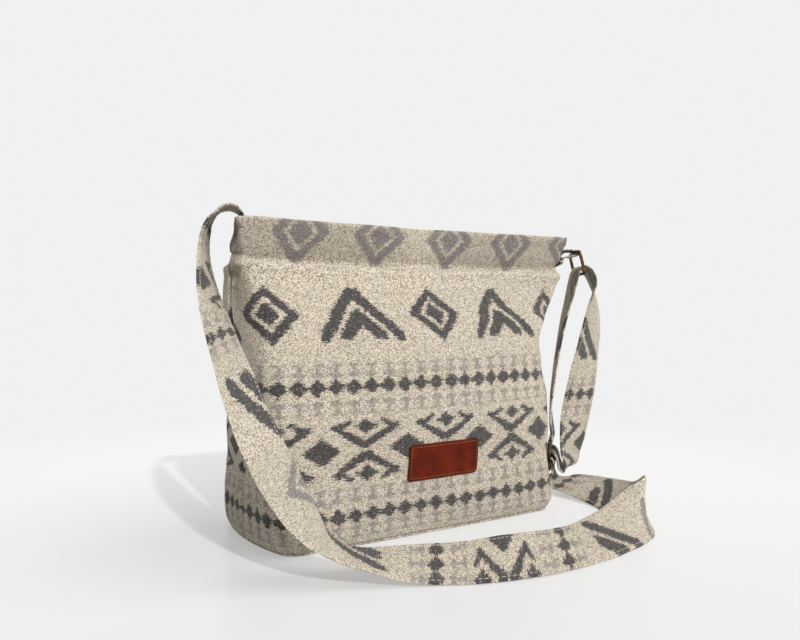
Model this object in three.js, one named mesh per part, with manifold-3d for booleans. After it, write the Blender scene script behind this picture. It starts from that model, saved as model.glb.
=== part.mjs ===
// Woven crossbody bag: stuffed boxed body of kilim cloth, hemmed mouth with a
// recessed zip, rectangular ring on a cloth tab, wide strap of the same cloth
// threaded through a slide adjuster, leather patch on the front.
// Millimetres, +Z up, front faces -Y, origin at the centre of the flat base.
import * as THREE from 'three';
import Module from 'manifold-3d';

const wasm = await Module();
wasm.setup();

// ---------------------------------------------------------------- dimensions
const HEIGHT = 290;          // base to rim
const CLOTH = 2.0;           // body cloth, one layer
const HEM = 4.0;             // folded hem above the zip, two layers
const HEM_Z = 257;           // lower edge of the hem, the crease under the band
const RIM_SAG = 3.5;         // rim dips this much at mid-width
const BASE_T = 2.5;          // base panel
const GAP = 0.3;             // air between separate pieces
const STRAP_W = 48;          // strap width
const STRAP_T = 2.0;         // strap thickness, cloth doubled
const GATHER_W = 26;         // width of its gathered end inside the mouth
const GATHER_0 = 27;         // gather runs out between these distances from the end
const GATHER_1 = 44;
const ZIP_Z = 252;           // tape mid-plane
const ZIP_Y = 4;             // zip centre line
const ZIP_X0 = -146;         // closed zip runs from here
const ZIP_X1 = 192;          // to here
const TAPE_T = 1.0;
const TOOTH_PITCH = 5.0;
const WIRE_R = 1.8;          // ring wire radius
const RING_L = 57;           // ring outer length
const RING_H = 28;           // ring outer height
const RING_TOP = [244.7, -8.8, 273.2];   // centre of the ring's top bar
const RING_BOT = [249.6, -12.0, 249.0];  // centre of the ring's bottom bar
const RING_AZ = 32.7;        // plan direction of the ring's bars, from +Y to +X
const ADJ_C = [209.5, -6.0, 44.0];       // slide adjuster centre
const ADJ_AZ = 46;           // plan direction of its bars
const ADJ_L = 57;            // adjuster length along its bars
const ADJ_BAR = 1.6;         // bar radius
const ADJ_PITCH = 16;        // centre bar to outer bar
const PATCH_W = 80;
const PATCH_H = 33;
const PATCH_T = 1.6;
const PATCH_SEAT = 0.9;      // back of the patch to the cloth, room for the panel's bulge
const PATCH_U = 0.518;       // patch centre as a share of the front width
const PATCH_Z = 70;          // patch centre height

// body outline by height: front-left, front-right, back-right, back-left
// corners, outward bulge of front, right, back, left sides
const LEVELS = [
  // z,   FLx,  FLy,  FRx,  FRy,  BRx, BRy,  BLx,  BLy,  bf, br, bb, bl
  [0,    -150,  -70,  150,  -70,  150,  70, -150,   70,   1,   6,  1, 10],
  [14,   -155,  -75,  155,  -75,  155,  75, -154,   75,   2,   6,  2,  8],
  [36,   -157,  -76,  153,  -75,  156,  74, -155,   74,   6,   5,  6,  7],
  [60,   -157,  -75,  150,  -72,  155,  70, -155,   68,   9,   5,  9,  8],
  [90,   -159,  -74,  154,  -70,  157,  66, -157,   62,  11,   6, 10,  8],
  [114,  -161,  -72,  155,  -68,  160,  63, -158,   58,  12,   6, 10,  8],
  [145,  -164,  -68,  152,  -60,  166,  60, -161,   54,  12,   5, 10,  8],
  [173,  -166,  -62,  151,  -53,  174,  57, -163,   50,  12,   4,  9,  7],
  [200,  -169,  -55,  170,  -42,  190,  52, -165,   46,  12,   5,  9,  7],
  [223,  -171,  -47,  188,  -33,  204,  46, -166,   42,  11,   5,  8,  6],
  [244,  -173,  -37,  203,  -28,  218,  39, -165,   36,   9,   3,  7,  4],
  [257,  -174,  -29,  212,  -23,  228,  34, -162,   31,   2,   2,  2,  2],
  [270,  -175,  -26,  219,  -20,  235,  33, -160,   29,   3,   1,  2,  1],
  [290,  -175,  -21,  225,  -15,  242,  32, -157,   26,   1,   0,  1,  0],
];

// strap frames: centre x,y,z then the unit direction across the strap, from its
// outer edge to its inner edge; first the run from the left seam round the
// floor and up through the adjuster to the ring, then from the ring down the
// outside to the adjuster's centre bar
const STRAP_MAIN = [
  [-156.8,1.5,263,0.341,0.94,0.019], [-156.9,1.5,266.5,0.342,0.94,0.009], [-157,1.5,270,0.342,0.94,0.003],
  [-157,1.5,273.5,0.342,0.94,0.001], [-157.1,1.5,277,0.342,0.94,0.004], [-157.3,1.6,280.5,0.341,0.94,0.011],
  [-157.7,1.7,283.9,0.337,0.941,0.022], [-158.5,1.8,287.4,0.327,0.945,0.034], [-159.6,2.1,290.7,0.31,0.95,0.044],
  [-161.3,2.4,293.9,0.289,0.956,0.05], [-163.5,2.9,296.7,0.265,0.963,0.045], [-166.2,3.6,298.8,0.247,0.969,0.029],
  [-169.5,4.4,300,0.241,0.971,0.009], [-172.9,5.2,300.1,0.232,0.973,-0.006], [-176.3,6,299.2,0.213,0.977,-0.027],
  [-179.3,6.5,297.4,0.197,0.978,-0.067], [-181.8,6.8,294.9,0.205,0.973,-0.107], [-183.9,6.9,292.1,0.219,0.967,-0.134],
  [-185.9,6.9,289.1,0.24,0.957,-0.164], [-187.7,6.8,286.1,0.276,0.939,-0.206], [-189.3,6.6,283,0.314,0.916,-0.25],
  [-192.5,5,274.8,0.37,0.864,-0.342], [-194.5,2.2,266.5,0.411,0.812,-0.414], [-195.8,-1.7,258.4,0.456,0.755,-0.472],
  [-196.8,-6.2,250.7,0.5,0.694,-0.517], [-197.7,-11.4,243.4,0.543,0.633,-0.552], [-198.6,-17.1,236.5,0.585,0.576,-0.571],
  [-199.5,-23.1,229.8,0.626,0.524,-0.577], [-200.4,-29.3,223.4,0.666,0.48,-0.571], [-201.3,-35.6,217.1,0.7,0.449,-0.556],
  [-202,-42.1,210.9,0.73,0.427,-0.534], [-202.7,-48.6,204.8,0.758,0.413,-0.505], [-203.2,-55.1,198.5,0.779,0.41,-0.475],
  [-203.6,-61.4,192.2,0.798,0.419,-0.434], [-203.7,-67.5,185.6,0.816,0.436,-0.381], [-203.4,-73.4,178.8,0.832,0.452,-0.321],
  [-202.8,-79,171.8,0.846,0.466,-0.261], [-202,-84.1,164.4,0.856,0.475,-0.203], [-200.9,-88.7,156.8,0.864,0.48,-0.15],
  [-199.7,-93,148.9,0.869,0.483,-0.104], [-198.3,-96.8,140.9,0.872,0.486,-0.06], [-196.7,-100.4,132.9,0.873,0.488,-0.015],
  [-194.7,-103.9,124.8,0.875,0.483,0.032], [-192.4,-107.1,116.7,0.876,0.476,0.077], [-189.9,-110.2,108.7,0.874,0.472,0.117],
  [-187,-113.1,100.6,0.869,0.469,0.154], [-184,-115.8,92.6,0.862,0.471,0.186], [-180.7,-118.4,84.7,0.849,0.485,0.21],
  [-177.2,-120.8,76.8,0.83,0.508,0.229], [-173.4,-123.1,68.9,0.807,0.538,0.241], [-169.5,-125.4,61.2,0.779,0.578,0.244],
  [-165.3,-127.6,53.6,0.741,0.629,0.236], [-160.7,-130,46.2,0.684,0.698,0.213], [-155.7,-132.6,39.1,0.619,0.764,0.179],
  [-150.1,-135.4,32.7,0.536,0.836,0.12], [-143.8,-138.5,27.1,0.466,0.882,0.074], [-136.6,-141.7,22.6,0.427,0.902,0.062],
  [-128.9,-144.9,19.2,0.402,0.914,0.056], [-120.9,-148.2,16.7,0.391,0.917,0.074], [-112.8,-151.5,14.8,0.397,0.907,0.141],
  [-104.6,-154.9,13.3,0.412,0.888,0.205], [-96.4,-158.5,12.1,0.426,0.865,0.266], [-88.3,-162.3,11.3,0.436,0.843,0.316],
  [-80.3,-166.3,10.7,0.442,0.828,0.344], [-72.3,-170.5,10.5,0.44,0.821,0.365], [-64.4,-174.7,10.4,0.431,0.82,0.376],
  [-56.4,-178.8,10.4,0.409,0.828,0.384], [-48.3,-182.7,10.6,0.373,0.84,0.393], [-40.1,-186.3,10.9,0.329,0.853,0.406],
  [-31.7,-189.4,11.3,0.282,0.863,0.42], [-23.1,-192.2,11.7,0.235,0.87,0.434], [-14.4,-194.5,12,0.193,0.874,0.446],
  [-5.6,-196.3,12.2,0.155,0.88,0.449], [3.3,-197.6,12.1,0.119,0.887,0.447], [12.2,-198.6,12,0.082,0.893,0.444],
  [21.2,-199.1,11.7,0.045,0.899,0.435], [30.2,-199.2,11.4,0.008,0.906,0.423], [39.2,-199,11.2,-0.026,0.911,0.412],
  [48.1,-198.5,11,-0.055,0.915,0.399], [57.1,-197.8,10.8,-0.078,0.919,0.386], [66,-196.8,10.6,-0.093,0.923,0.372],
  [75,-195.9,10.5,-0.111,0.914,0.391], [84,-194.8,11,-0.135,0.903,0.407], [92.8,-193.6,11.4,-0.14,0.896,0.422],
  [101.6,-192.4,11.7,-0.145,0.888,0.436], [110.4,-191.1,12.2,-0.166,0.875,0.454], [119,-189.7,13,-0.198,0.852,0.485],
  [127.5,-188.2,14.1,-0.24,0.814,0.529], [136.2,-186.3,15.4,-0.303,0.756,0.58], [144.8,-183.6,17,-0.371,0.671,0.642],
  [153.3,-180.1,18.9,-0.425,0.555,0.715], [161.5,-175.6,20.8,-0.45,0.41,0.793], [169.2,-170.1,22.8,-0.412,0.25,0.876],
  [176.3,-163.9,24.4,-0.279,0.107,0.954], [182.7,-157.3,25.3,-0.058,0.016,0.998], [188.5,-150.2,24.9,0.205,-0.028,0.978],
  [193.7,-142.8,23.4,0.432,-0.06,0.9], [198,-134.8,21.4,0.579,-0.099,0.809], [201.9,-126.7,19.4,0.67,-0.138,0.73],
  [205.5,-118.3,17.7,0.739,-0.145,0.658], [208.4,-109.7,15.9,0.796,-0.135,0.59], [210.9,-101,14.2,0.835,-0.133,0.535],
  [212.8,-92.1,13.4,0.859,-0.16,0.486], [214.9,-83.4,13,0.877,-0.163,0.452], [216.4,-74.5,12.7,0.903,-0.113,0.416],
  [217.3,-65.5,12.5,0.924,-0.056,0.378], [217.6,-56.5,12.5,0.94,0.005,0.341], [217.3,-47.5,12.5,0.952,0.061,0.301],
  [216.5,-38.6,12.5,0.959,0.111,0.26], [215.3,-29.7,12.3,0.963,0.156,0.22], [213.8,-20.7,12,0.975,0.168,0.145],
  [213.4,-18.6,12.1,0.98,0.168,0.101], [213,-16.5,12.6,0.983,0.178,0.042], [212.6,-14.4,13.3,0.978,0.207,-0.03],
  [212.2,-12.4,14.3,0.959,0.261,-0.112], [211.8,-10.6,15.6,0.914,0.358,-0.193], [211.6,-9.3,17.4,0.836,0.505,-0.215],
  [211.6,-8.5,19.4,0.763,0.631,-0.142], [211.6,-8.3,21.6,0.725,0.686,-0.061], [211.7,-8.3,23.9,0.719,0.695,-0.013],
  [211.8,-8.3,26.1,0.719,0.695,0.009], [211.7,-8.2,28.2,0.719,0.695,0.006], [211.3,-7.9,30.4,0.72,0.694,-0.002],
  [210.7,-7.3,32.4,0.72,0.694,-0.002], [210,-6.5,34.3,0.719,0.695,0], [209,-5.5,36.1,0.719,0.695,0.001],
  [207.9,-4.3,37.6,0.719,0.695,0], [206.8,-3.2,39.1,0.719,0.695,-0], [206,-2.4,41,0.719,0.695,-0],
  [205.7,-2.1,43.2,0.719,0.695,0], [205.8,-2.1,45.4,0.719,0.695,-0], [206.2,-2.6,47.6,0.719,0.695,-0],
  [207.1,-3.5,49.3,0.719,0.695,0], [208.2,-4.7,50.8,0.719,0.695,-0], [209.3,-5.8,52.4,0.719,0.695,-0],
  [210.2,-6.7,54.1,0.719,0.695,0], [210.9,-7.5,56.1,0.719,0.695,0], [211.4,-8,58.2,0.719,0.695,0],
  [211.7,-8.3,60.3,0.719,0.695,-0.001], [211.8,-8.4,62.5,0.719,0.695,-0.001], [211.7,-8.3,64.7,0.719,0.695,0.002],
  [211.5,-8.1,66.9,0.719,0.695,0.007], [210.6,-7.1,75.8,0.722,0.692,-0.024], [210.3,-6,84.7,0.712,0.697,-0.084],
  [210.7,-5.3,93.7,0.692,0.716,-0.094], [211.5,-5.1,102.6,0.679,0.731,-0.07], [212.6,-5.3,111.6,0.665,0.744,-0.063],
  [213.9,-5.6,120.5,0.652,0.754,-0.079], [215.3,-5.8,129.3,0.644,0.759,-0.098], [216.9,-5.8,138.2,0.637,0.763,-0.111],
  [218.5,-5.9,147,0.63,0.767,-0.12], [220.3,-5.9,155.8,0.623,0.771,-0.13], [222.3,-5.9,164.6,0.614,0.777,-0.14],
  [224.3,-5.9,173.4,0.603,0.784,-0.15], [226.5,-5.9,182.1,0.59,0.791,-0.16], [228.9,-5.8,190.7,0.578,0.8,-0.162],
  [231.3,-5.9,199.4,0.568,0.809,-0.148], [233.8,-6.2,208,0.563,0.817,-0.124], [236.4,-6.7,216.6,0.551,0.827,-0.116],
  [239,-7.1,225.2,0.533,0.836,-0.132], [241.5,-7.4,233.8,0.524,0.843,-0.124], [243.8,-7.8,242.5,0.534,0.844,-0.052],
  [244.3,-8,244.6,0.54,0.842,-0.025], [244.8,-8.3,246.8,0.545,0.838,0.004], [245.2,-8.6,249,0.551,0.834,0.027],
  [245.7,-9.1,251.1,0.557,0.83,0.041], [246.4,-9.6,253.1,0.564,0.825,0.045], [247.3,-10.3,254.9,0.569,0.821,0.037],
  [248.5,-11.3,256.4,0.566,0.824,0.021], [250.2,-12.4,257.6,0.553,0.833,0.005],
];
const STRAP_END = [
  [251.7,-13.45,257.72,0.578,0.816,-0.004], [252.96,-14.33,257.43,0.57,0.822,-0.009], [254.1,-15.12,256.89,0.561,0.828,-0.01],
  [255.13,-15.82,256.13,0.553,0.833,-0.007], [256.07,-16.45,255.18,0.547,0.837,-0.002], [256.92,-17,254.09,0.542,0.84,0.003],
  [257.7,-17.49,252.88,0.54,0.842,0.009], [258.42,-17.93,251.59,0.538,0.843,0.013], [259.08,-18.33,250.25,0.537,0.844,0.017],
  [259.71,-18.7,248.89,0.536,0.844,0.02], [260.28,-19.03,247.52,0.538,0.843,0.022], [260.82,-19.34,246.15,0.542,0.84,0.023],
  [261.31,-19.62,244.76,0.547,0.837,0.022], [261.75,-19.87,243.36,0.554,0.832,0.019], [262.15,-20.11,241.95,0.561,0.827,0.014],
  [263.4,-21.09,234.16,0.64,0.768,-0.026], [263.58,-21.73,226.16,0.738,0.672,-0.059], [263.16,-22.17,218.19,0.808,0.582,-0.093],
  [262.33,-22.49,210.26,0.856,0.502,-0.125], [261.21,-22.73,202.35,0.885,0.44,-0.151], [259.86,-22.89,194.48,0.906,0.386,-0.173],
  [258.34,-22.99,186.64,0.921,0.339,-0.19], [256.68,-23.01,178.82,0.932,0.3,-0.203], [254.94,-22.98,171.02,0.94,0.266,-0.213],
  [253.14,-22.91,163.24,0.947,0.233,-0.219], [251.31,-22.81,155.47,0.954,0.201,-0.222], [249.48,-22.69,147.69,0.961,0.165,-0.224],
  [247.64,-22.57,139.92,0.965,0.128,-0.228], [245.77,-22.43,132.16,0.967,0.096,-0.234], [243.85,-22.29,124.41,0.967,0.075,-0.242],
  [241.87,-22.13,116.67,0.967,0.061,-0.249], [239.86,-21.98,108.94,0.966,0.048,-0.252], [237.84,-21.85,101.22,0.967,0.041,-0.251],
  [235.84,-21.74,93.48,0.968,0.042,-0.246], [233.92,-21.7,85.73,0.971,0.055,-0.233], [232.13,-21.75,77.95,0.974,0.076,-0.214],
  [230.53,-21.92,70.12,0.977,0.105,-0.187], [229.18,-22.03,62.25,0.976,0.157,-0.149], [228.12,-21.75,54.32,0.971,0.221,-0.094],
  [227.31,-21.15,46.37,0.953,0.293,-0.08], [227.16,-21.08,44.88,0.947,0.308,-0.089], [227,-21.06,43.4,0.941,0.322,-0.102],
  [226.83,-21.08,41.91,0.934,0.335,-0.12], [226.65,-21.16,40.43,0.927,0.346,-0.142], [226.46,-21.31,38.96,0.919,0.356,-0.167],
  [226.25,-21.49,37.49,0.91,0.37,-0.189], [226,-21.67,36.02,0.897,0.391,-0.207], [225.71,-21.8,34.56,0.881,0.42,-0.219],
  [225.36,-21.83,33.1,0.863,0.456,-0.218], [224.94,-21.73,31.65,0.844,0.497,-0.202], [224.44,-21.45,30.2,0.829,0.534,-0.167],
  [223.85,-20.95,28.77,0.815,0.566,-0.127], [223.17,-20.26,27.47,0.795,0.599,-0.097], [222.39,-19.41,26.45,0.768,0.636,-0.068],
  [221.5,-18.43,25.86,0.739,0.673,-0.028], [220.51,-17.38,25.81,0.725,0.689,0.016], [219.49,-16.32,26.26,0.726,0.687,0.031],
  [218.53,-15.34,27.09,0.728,0.685,0.027], [217.74,-14.53,28.18,0.73,0.683,0.018], [217.15,-13.93,29.44,0.729,0.684,0.009],
  [216.73,-13.5,30.81,0.726,0.688,0.002], [216.43,-13.18,32.27,0.722,0.692,-0.001], [216.2,-12.94,33.76,0.72,0.694,-0.001],
  [216,-12.72,35.25,0.719,0.695,-0.001], [215.79,-12.51,36.72,0.719,0.695,0], [215.55,-12.27,38.18,0.719,0.695,0],
  [215.28,-11.99,39.61,0.719,0.695,0], [214.95,-11.64,41.02,0.719,0.695,0], [214.54,-11.22,42.39,0.719,0.695,-0],
  [214.03,-10.69,43.71,0.719,0.695,-0], [213.42,-10.05,44.95,0.719,0.695,-0], [212.67,-9.29,46.08,0.719,0.695,0],
  [211.8,-8.38,46.89,0.719,0.695,0], [210.81,-7.35,47.17,0.719,0.695,-0], [209.75,-6.25,47.02,0.719,0.695,0],
  [208.71,-5.18,46.61,0.719,0.695,-0], [207.88,-4.32,45.75,0.719,0.695,-0], [207.47,-3.89,44.34,0.719,0.695,0],
  [207.63,-4.07,42.83,0.719,0.695,-0], [208.31,-4.76,41.7,0.719,0.695,-0], [209.28,-5.77,41.14,0.719,0.695,0],
  [210.34,-6.87,40.83,0.719,0.695,-0], [211.28,-7.84,40.3,0.719,0.695,-0], [211.97,-8.56,39.26,0.719,0.695,0],
  [212.46,-9.06,37.83,0.719,0.695,0], [212.77,-9.39,36.24,0.719,0.695,0], [212.97,-9.6,34.69,0.719,0.695,-0],
  [213.11,-9.74,33.4,0.719,0.695,-0],
];

// ------------------------------------------------------------------- helpers
function lerp(a, b, t) { return a + (b - a) * t; }

// monotone cubic through the rows of LEVELS
function level(z) {
  const L = LEVELS;
  if (z <= L[0][0]) return L[0].slice(1);
  if (z >= L[L.length - 1][0]) return L[L.length - 1].slice(1);
  let i = 0;
  while (L[i + 1][0] < z) i++;
  const h = L[i + 1][0] - L[i][0], t = (z - L[i][0]) / h;
  const out = [];
  for (let k = 1; k < L[0].length; k++) {
    const slope = (j) => (L[j + 1][k] - L[j][k]) / (L[j + 1][0] - L[j][0]);
    const tangent = (j) => {
      if (j === 0) return slope(0);
      if (j === L.length - 1) return slope(L.length - 2);
      const a = slope(j - 1), b = slope(j);
      return a * b <= 0 ? 0 : (2 * a * b) / (a + b);
    };
    const p0 = L[i][k], p1 = L[i + 1][k], m0 = tangent(i) * h, m1 = tangent(i + 1) * h;
    const t2 = t * t, t3 = t2 * t;
    out.push((2 * t3 - 3 * t2 + 1) * p0 + (t3 - 2 * t2 + t) * m0 + (-2 * t3 + 3 * t2) * p1 + (t3 - t2) * m1);
  }
  return out;
}

// closed outline at height z, equal samples on every side, corners rounded by
// smoothing; starts at the left seam, runs over the front to the right seam
const NF = 200, NS = 60, NALL = 2 * (NF + NS);
const outlineCache = new Map();
function outline(z) {
  if (outlineCache.has(z)) return outlineCache.get(z);
  const c = level(z);
  const P = [[c[0], c[1]], [c[2], c[3]], [c[4], c[5]], [c[6], c[7]]];
  const side = (a, b, n, bulge) => {
    const dx = b[0] - a[0], dy = b[1] - a[1], len = Math.hypot(dx, dy);
    const nx = dy / len, ny = -dx / len, pts = [];
    for (let i = 0; i < n; i++) {
      const t = i / n, s = bulge * Math.sin(Math.PI * t);
      pts.push([a[0] + dx * t + nx * s, a[1] + dy * t + ny * s]);
    }
    return pts;
  };
  const all = [
    ...side(P[0], P[1], NF, c[8]), ...side(P[1], P[2], NS, c[9]),
    ...side(P[2], P[3], NF, c[10]), ...side(P[3], P[0], NS, c[11]),
  ];
  const sigma = 6, R = 18, wts = [];
  let sum = 0;
  for (let k = -R; k <= R; k++) { const w = Math.exp(-0.5 * (k / sigma) ** 2); wts.push(w); sum += w; }
  const sm = all.map((_, i) => {
    let x = 0, y = 0;
    for (let k = -R; k <= R; k++) {
      const q = all[(i + k + NALL) % NALL], w = wts[k + R] / sum;
      x += q[0] * w; y += q[1] * w;
    }
    return [x, y];
  });
  const start = NALL - NS / 2;
  const out = sm.map((_, i) => sm[(i + start) % NALL]);
  outlineCache.set(z, out);
  return out;
}
const SEAM_R = NS + NF;      // index of the right seam, index 0 is the left seam

function sag(i, z) {
  const t = i <= SEAM_R ? i / SEAM_R : (NALL - i) / (NALL - SEAM_R);
  const s = Math.min(1, Math.max(0, (z - 200) / 90));
  return RIM_SAG * Math.sin(Math.PI * t) * s * s * (3 - 2 * s);
}

// point of the wall at outline index i (may be fractional), height z, set in by d
function wall(i, z, d) {
  const o = outline(z), n = NALL;
  const at = (k) => { const a = Math.floor(k), f = k - a, p = o[((a % n) + n) % n], q = o[(((a + 1) % n) + n) % n]; return [lerp(p[0], q[0], f), lerp(p[1], q[1], f)]; };
  const p = at(i), a = at(i - 1), b = at(i + 1);
  const tx = b[0] - a[0], ty = b[1] - a[1], l = Math.hypot(tx, ty);
  return [p[0] - (ty / l) * d, p[1] + (tx / l) * d, z - sag(i, z)];
}
// outward direction of the wall in plan
function wallOut(i, z) {
  const a = wall(i, z, 0), b = wall(i, z, -1);
  return [b[0] - a[0], b[1] - a[1], 0];
}

function mesh(name, verts, tris, material) {
  const g = new THREE.BufferGeometry();
  g.setAttribute('position', new THREE.BufferAttribute(new Float32Array(verts.flat()), 3));
  g.setIndex(tris.flat());
  g.computeVertexNormals();
  const m = new THREE.Mesh(g, material);
  m.name = name;
  return m;
}

// volume sign tells whether the faces point out; turn them over when they don't
function outward(verts, tris) {
  let v = 0;
  for (const [a, b, c] of tris) {
    const A = verts[a], B = verts[b], C = verts[c];
    v += A[0] * (B[1] * C[2] - B[2] * C[1]) - A[1] * (B[0] * C[2] - B[2] * C[0]) + A[2] * (B[0] * C[1] - B[1] * C[0]);
  }
  return v < 0 ? tris.map(([a, b, c]) => [a, c, b]) : tris;
}

// loft of closed rings with the same count; ends filled as fans of the ring
// with caps given as triangles over one ring
function loft(rings, capTris) {
  const n = rings[0].length, verts = rings.flat(), tris = [];
  for (let s = 0; s + 1 < rings.length; s++)
    for (let i = 0; i < n; i++) {
      const j = (i + 1) % n, a = s * n + i, b = s * n + j, c = a + n, d = b + n;
      tris.push([a, b, d], [a, d, c]);
    }
  const last = (rings.length - 1) * n;
  // the cap must run round the ring in the ring's own order
  const forward = capTris.some(([a, b, c]) => [[a, b], [b, c], [c, a]].some(([p, q]) => q === (p + 1) % n));
  if (!forward) capTris = capTris.map(([a, b, c]) => [a, c, b]);
  for (const [a, b, c] of capTris) { tris.push([a, c, b]); tris.push([last + a, last + b, last + c]); }
  return [verts, outward(verts, tris)];
}
function capOf(ring2d) {
  const shape = ring2d.map((p) => new THREE.Vector2(p[0], p[1]));
  return THREE.ShapeUtils.triangulateShape(shape, []);
}

// ribbon along frames {c, w} with a rectangular section, corners eased
function ribbon(frames, width, thick) {
  const rings = [];
  for (let k = 0; k < frames.length; k++) {
    const a = frames[Math.max(0, k - 1)].c, b = frames[Math.min(frames.length - 1, k + 1)].c;
    const T = new THREE.Vector3(b[0] - a[0], b[1] - a[1], b[2] - a[2]).normalize();
    const W = new THREE.Vector3(...frames[k].w);
    W.addScaledVector(T, -W.dot(T)).normalize();
    const N = new THREE.Vector3().crossVectors(T, W);
    const wd = (frames[k].width ?? width) / 2, h = thick / 2, e = thick * 0.3;
    const sec = [[-wd, -h + e], [-wd + e, -h], [wd - e, -h], [wd, -h + e], [wd, h - e], [wd - e, h], [-wd + e, h], [-wd, h - e]];
    rings.push(sec.map(([x, y]) => [
      frames[k].c[0] + W.x * x + N.x * y, frames[k].c[1] + W.y * x + N.y * y, frames[k].c[2] + W.z * x + N.z * y,
    ]));
  }
  return loft(rings, [[0, 1, 2], [0, 2, 3], [0, 3, 4], [0, 4, 7], [4, 5, 6], [4, 6, 7]]);
}

// round rod along a polyline of points, closed or capped
function rod(points, r, sides, closed) {
  const n = points.length, rings = [];
  let ref = null;
  for (let k = 0; k < n; k++) {
    const a = points[closed ? (k - 1 + n) % n : Math.max(0, k - 1)], b = points[closed ? (k + 1) % n : Math.min(n - 1, k + 1)];
    const T = new THREE.Vector3().subVectors(b, a).normalize();
    if (!ref) { ref = new THREE.Vector3(0, 0, 1); if (Math.abs(T.z) > 0.8) ref.set(1, 0, 0); }
    const U = ref.clone().addScaledVector(T, -ref.dot(T)).normalize();
    ref = U.clone();
    const V = new THREE.Vector3().crossVectors(T, U);
    const ring = [];
    for (let i = 0; i < sides; i++) {
      const t = (2 * Math.PI * (i + 0.5)) / sides;
      ring.push(points[k].clone().addScaledVector(U, r * Math.cos(t)).addScaledVector(V, r * Math.sin(t)).toArray());
    }
    rings.push(ring);
  }
  if (!closed) {
    const cap = [];
    for (let i = 1; i + 1 < sides; i++) cap.push([0, i, i + 1]);
    return loft(rings, cap);
  }
  const verts = rings.flat(), tris = [];
  // rings of a planar closed loop come back to the same orientation
  for (let s = 0; s < n; s++)
    for (let i = 0; i < sides; i++) {
      const j = (i + 1) % sides, a = s * sides + i, b = s * sides + j, c = ((s + 1) % n) * sides + i, d = ((s + 1) % n) * sides + j;
      tris.push([a, b, d], [a, d, c]);
    }
  return [verts, outward(verts, tris)];
}

function solidOf(verts, tris) {
  return new wasm.Manifold(new wasm.Mesh({ numProp: 3, vertProperties: new Float32Array(verts.flat()), triVerts: new Uint32Array(tris.flat()) }));
}
function fromSolid(name, s, material) {
  const m = s.getMesh(), np = m.numProp, verts = [], tris = [];
  for (let i = 0; i < m.vertProperties.length / np; i++) verts.push([m.vertProperties[i * np], m.vertProperties[i * np + 1], m.vertProperties[i * np + 2]]);
  for (let i = 0; i < m.triVerts.length; i += 3) tris.push([m.triVerts[i], m.triVerts[i + 1], m.triVerts[i + 2]]);
  return mesh(name, verts, tris, material);
}

// ----------------------------------------------------------------- materials
const cloth = new THREE.MeshStandardMaterial({ color: new THREE.Color().setRGB(0.78, 0.73, 0.63, THREE.SRGBColorSpace), roughness: 0.95, metalness: 0 });
const webbing = new THREE.MeshStandardMaterial({ color: new THREE.Color().setRGB(0.66, 0.61, 0.54, THREE.SRGBColorSpace), roughness: 0.95, metalness: 0 });
const tape = new THREE.MeshStandardMaterial({ color: new THREE.Color().setRGB(0.42, 0.38, 0.33, THREE.SRGBColorSpace), roughness: 0.9, metalness: 0 });
const brass = new THREE.MeshStandardMaterial({ color: new THREE.Color().setRGB(0.45, 0.36, 0.22, THREE.SRGBColorSpace), roughness: 0.4, metalness: 1 });
const leather = new THREE.MeshStandardMaterial({ color: new THREE.Color().setRGB(0.45, 0.16, 0.09, THREE.SRGBColorSpace), roughness: 0.55, metalness: 0 });
const thread = new THREE.MeshStandardMaterial({ color: new THREE.Color().setRGB(0.78, 0.62, 0.42, THREE.SRGBColorSpace), roughness: 0.8, metalness: 0 });

const bag = new THREE.Group();
bag.name = 'woven_crossbody_bag';

// --------------------------------------------------------------- body panels
const WALL_Z = [BASE_T + GAP, 14, 25, 36, 48, 60, 75, 90, 102, 114, 130, 145, 159, 173, 187, 200, 212, 223, 234, 244, 251, HEM_Z, 263, 270, 280, HEIGHT];
function panel(name, i0, i1, steps) {
  const rings = [];
  for (let s = 0; s <= steps; s++) {
    const i = i0 + ((i1 - i0) * s) / steps;
    const ring = WALL_Z.map((z) => wall(i, z, 0));
    ring.push(wall(i, HEIGHT + 0.6, HEM / 2));
    for (let k = WALL_Z.length - 1; k >= 0; k--) {
      const z = WALL_Z[k];
      if (z === HEM_Z) { ring.push(wall(i, z, HEM)); ring.push(wall(i, z - 1.2, CLOTH)); } else if (z > HEM_Z) ring.push(wall(i, z, HEM)); else ring.push(wall(i, z, CLOTH));
    }
    rings.push(ring);
  }
  const n = rings[0].length, nz = WALL_Z.length;
  // end faces: strip between the outer and the inner edge of the profile
  const cap = capOf(rings[0].map((p, k) => {
    const d = k < nz ? 0 : k === nz ? HEM / 2 : WALLD(k - nz - 1);
    return [d, k < nz ? WALL_Z[k] : k === nz ? HEIGHT + 0.6 : WALLZ(k - nz - 1)];
  }));
  const [v, t] = loft(rings, cap);
  return mesh(name, v, t, cloth);
}
function innerRows() {
  const rows = [];
  for (let k = WALL_Z.length - 1; k >= 0; k--) {
    const z = WALL_Z[k];
    if (z === HEM_Z) { rows.push([HEM, z]); rows.push([CLOTH, z - 1.2]); } else rows.push([z > HEM_Z ? HEM : CLOTH, z]);
  }
  return rows;
}
const INNER = innerRows();
function WALLD(k) { return INNER[k][0]; }
function WALLZ(k) { return INNER[k][1]; }

bag.add(panel('front_panel', 0.25, SEAM_R - 0.25, 52));
bag.add(panel('back_panel', SEAM_R + 0.25, NALL - 0.25, 52));

// base panel with the flat underside
{
  const ring = [], N = 104;
  for (let s = 0; s < N; s++) ring.push(wall((NALL * s) / N, 0, 0).slice(0, 2));
  const cap = capOf(ring);
  const [v, t] = loft([ring.map(([x, y]) => [x, y, 0]), ring.map(([x, y]) => [x, y, BASE_T])], cap);
  bag.add(mesh('base_panel', v, t, cloth));
}

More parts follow.
